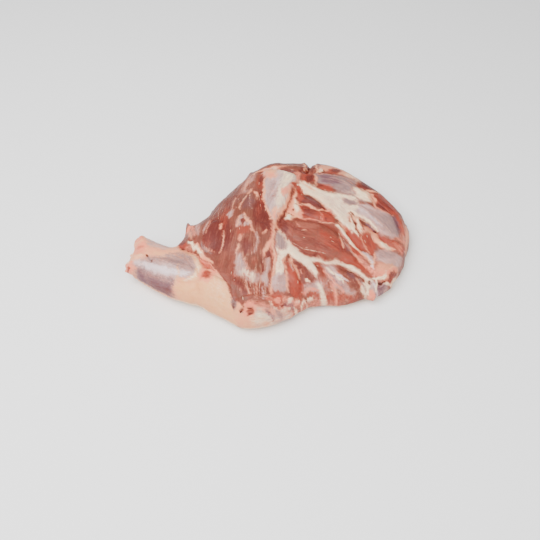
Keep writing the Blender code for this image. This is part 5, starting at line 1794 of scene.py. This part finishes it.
class DressBone(bpy.types.Operator):
    """Finishes the knuckle that shows at the shank's end"""

    bl_idname = "lamb_shoulder.dress_bone"
    bl_label = "Dress the knuckle"

    def execute(self, context):
        look = context.scene.lamb_bone
        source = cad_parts["shank_bone"]
        mesh = source.data.copy()
        mesh.materials.clear()
        bone = bpy.data.objects.new("knuckle_bone", mesh)
        context.scene.collection.objects.link(bone)
        remesh = bone.modifiers.new("remesh", "REMESH")
        remesh.mode = "VOXEL"
        remesh.voxel_size = look.voxel * MM
        smooth = bone.modifiers.new("smooth", "SMOOTH")
        smooth.factor = 0.6
        smooth.iterations = 6
        context.view_layer.update()
        graph = context.evaluated_depsgraph_get()
        fine = bpy.data.meshes.new_from_object(bone.evaluated_get(graph))
        bone.modifiers.clear()
        bone.data = fine
        bpy.data.meshes.remove(mesh)
        count = len(fine.vertices)
        places = np.empty(count * 3, np.float32)
        fine.vertices.foreach_get("co", places)
        places = places.reshape(-1, 3).astype(float) / MM
        normals = np.empty(count * 3, np.float32)
        fine.vertices.foreach_get("normal", normals)
        rise = 0.5 * lumps(places, 5.5, 41) + 0.25 * lumps(places, 2.4, 42)
        places += normals.reshape(-1, 3) * (rise - 0.3)[:, None]
        metres = np.clip(places * MM, np.array(CAD_LOW), np.array(CAD_HIGH))
        fine.vertices.foreach_set("co", metres.astype(np.float32).ravel())
        drawing = places + (*DRAWING_CENTRE, 0)
        blush = np.zeros(count)
        for place, reach, strength in (((-175, -51, 20), 5, 1), ((-168, -41, 20), 4, 0.7),
            ((-160, -34, 29), 4, 0.6)):
            gap = np.linalg.norm(drawing - place, axis=1)
            blush = np.maximum(blush, strength * np.exp(-((gap / reach) ** 2)))
        layer = fine.attributes.new("blush", "FLOAT", "POINT")
        layer.data.foreach_set("value", blush.astype(np.float32))
        fine.shade_smooth()
        fine.materials.clear()
        fine.materials.append(bone_material(look))
        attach(bone, "root")
        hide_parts("shank_bone")
        return {"FINISHED"}


class SetStage(bpy.types.Operator):
    """Sets the pale floor, the soft light and the camera"""

    bl_idname = "lamb_shoulder.set_stage"
    bl_label = "Set the stage"

    def execute(self, context):
        look = context.scene.lamb_stage
        mesh = bpy.data.meshes.new("floor")
        half = 3.0
        corners = [(-half, -half, -0.0004), (half, -half, -0.0004), (half, half, -0.0004),
            (-half, half, -0.0004)]
        mesh.from_pydata(corners, [], [(0, 1, 2, 3)])
        floor = bpy.data.objects.new("floor", mesh)
        context.scene.collection.objects.link(floor)
        mesh.materials.append(floor_material(look))
        aim = Vector((-0.0009, -0.03555, 0))
        for label, place, size, power in (
            ("key_light", (-0.5, -0.35, 1.25), 1.1, look.key),
            ("fill_light", (0.8, -0.6, 0.9), 1.2, look.fill),
        ):
            light = bpy.data.lights.new(label, "AREA")
            light.size = size
            light.energy = power
            lamp = bpy.data.objects.new(label, light)
            lamp.location = place
            lamp.rotation_euler = (aim - Vector(place)).to_track_quat("-Z", "Y").to_euler()
            context.scene.collection.objects.link(lamp)
        world = bpy.data.worlds.new("studio")
        world.use_nodes = True
        sky = world.node_tree.nodes["Background"]
        sky.inputs["Color"].default_value = (1, 1, 1, 1)
        sky.inputs["Strength"].default_value = look.sky
        context.scene.world = world
        lens = bpy.data.cameras.new("photo_camera")
        lens.sensor_width = 36
        lens.lens = 45.93
        camera = bpy.data.objects.new("photo_camera", lens)
        elevation = math.radians(55)
        distance = 0.855
        camera.location = aim + distance * Vector((0, -math.cos(elevation), math.sin(elevation)))
        camera.rotation_euler = (aim - camera.location).to_track_quat("-Z", "Y").to_euler()
        context.scene.collection.objects.link(camera)
        context.scene.camera = camera
        return {"FINISHED"}


class ShoulderPanel(bpy.types.Panel):
    """Lists the pieces of the lamb shoulder"""

    bl_idname = "VIEW3D_PT_lamb_shoulder"
    bl_label = "Lamb shoulder"
    bl_space_type = "VIEW_3D"
    bl_region_type = "UI"
    bl_category = "Lamb shoulder"

    def draw(self, context):
        for step in OPERATORS:
            self.layout.operator(step.bl_idname)
        for look in LOOKS:
            owner = getattr(context.scene, look)
            box = self.layout.box()
            for name in owner.bl_rna.properties.keys():
                if name not in {"rna_type", "name"}:
                    box.prop(owner, name)


LOOKS = {"lamb_meat": MeatLook, "lamb_sinew": SinewLook, "lamb_bone": BoneLook,
    "lamb_stage": StageLook}
OPERATORS = (DressMeat, DressSinew, DressBone, SetStage)


def register():
    for cls in (*LOOKS.values(), *OPERATORS, ShoulderPanel):
        bpy.utils.register_class(cls)
    for name, cls in LOOKS.items():
        setattr(bpy.types.Scene, name, PointerProperty(type=cls))


def unregister():
    for name in LOOKS:
        delattr(bpy.types.Scene, name)
    for cls in reversed((*LOOKS.values(), *OPERATORS, ShoulderPanel)):
        bpy.utils.unregister_class(cls)


def main():
    register()
    frayed_edge_group()
    mottle_group()
    bpy.ops.lamb_shoulder.dress_meat()
    bpy.ops.lamb_shoulder.dress_sinew()
    bpy.ops.lamb_shoulder.dress_bone()
    bpy.ops.lamb_shoulder.set_stage()


if __name__ == "__main__":
    main()
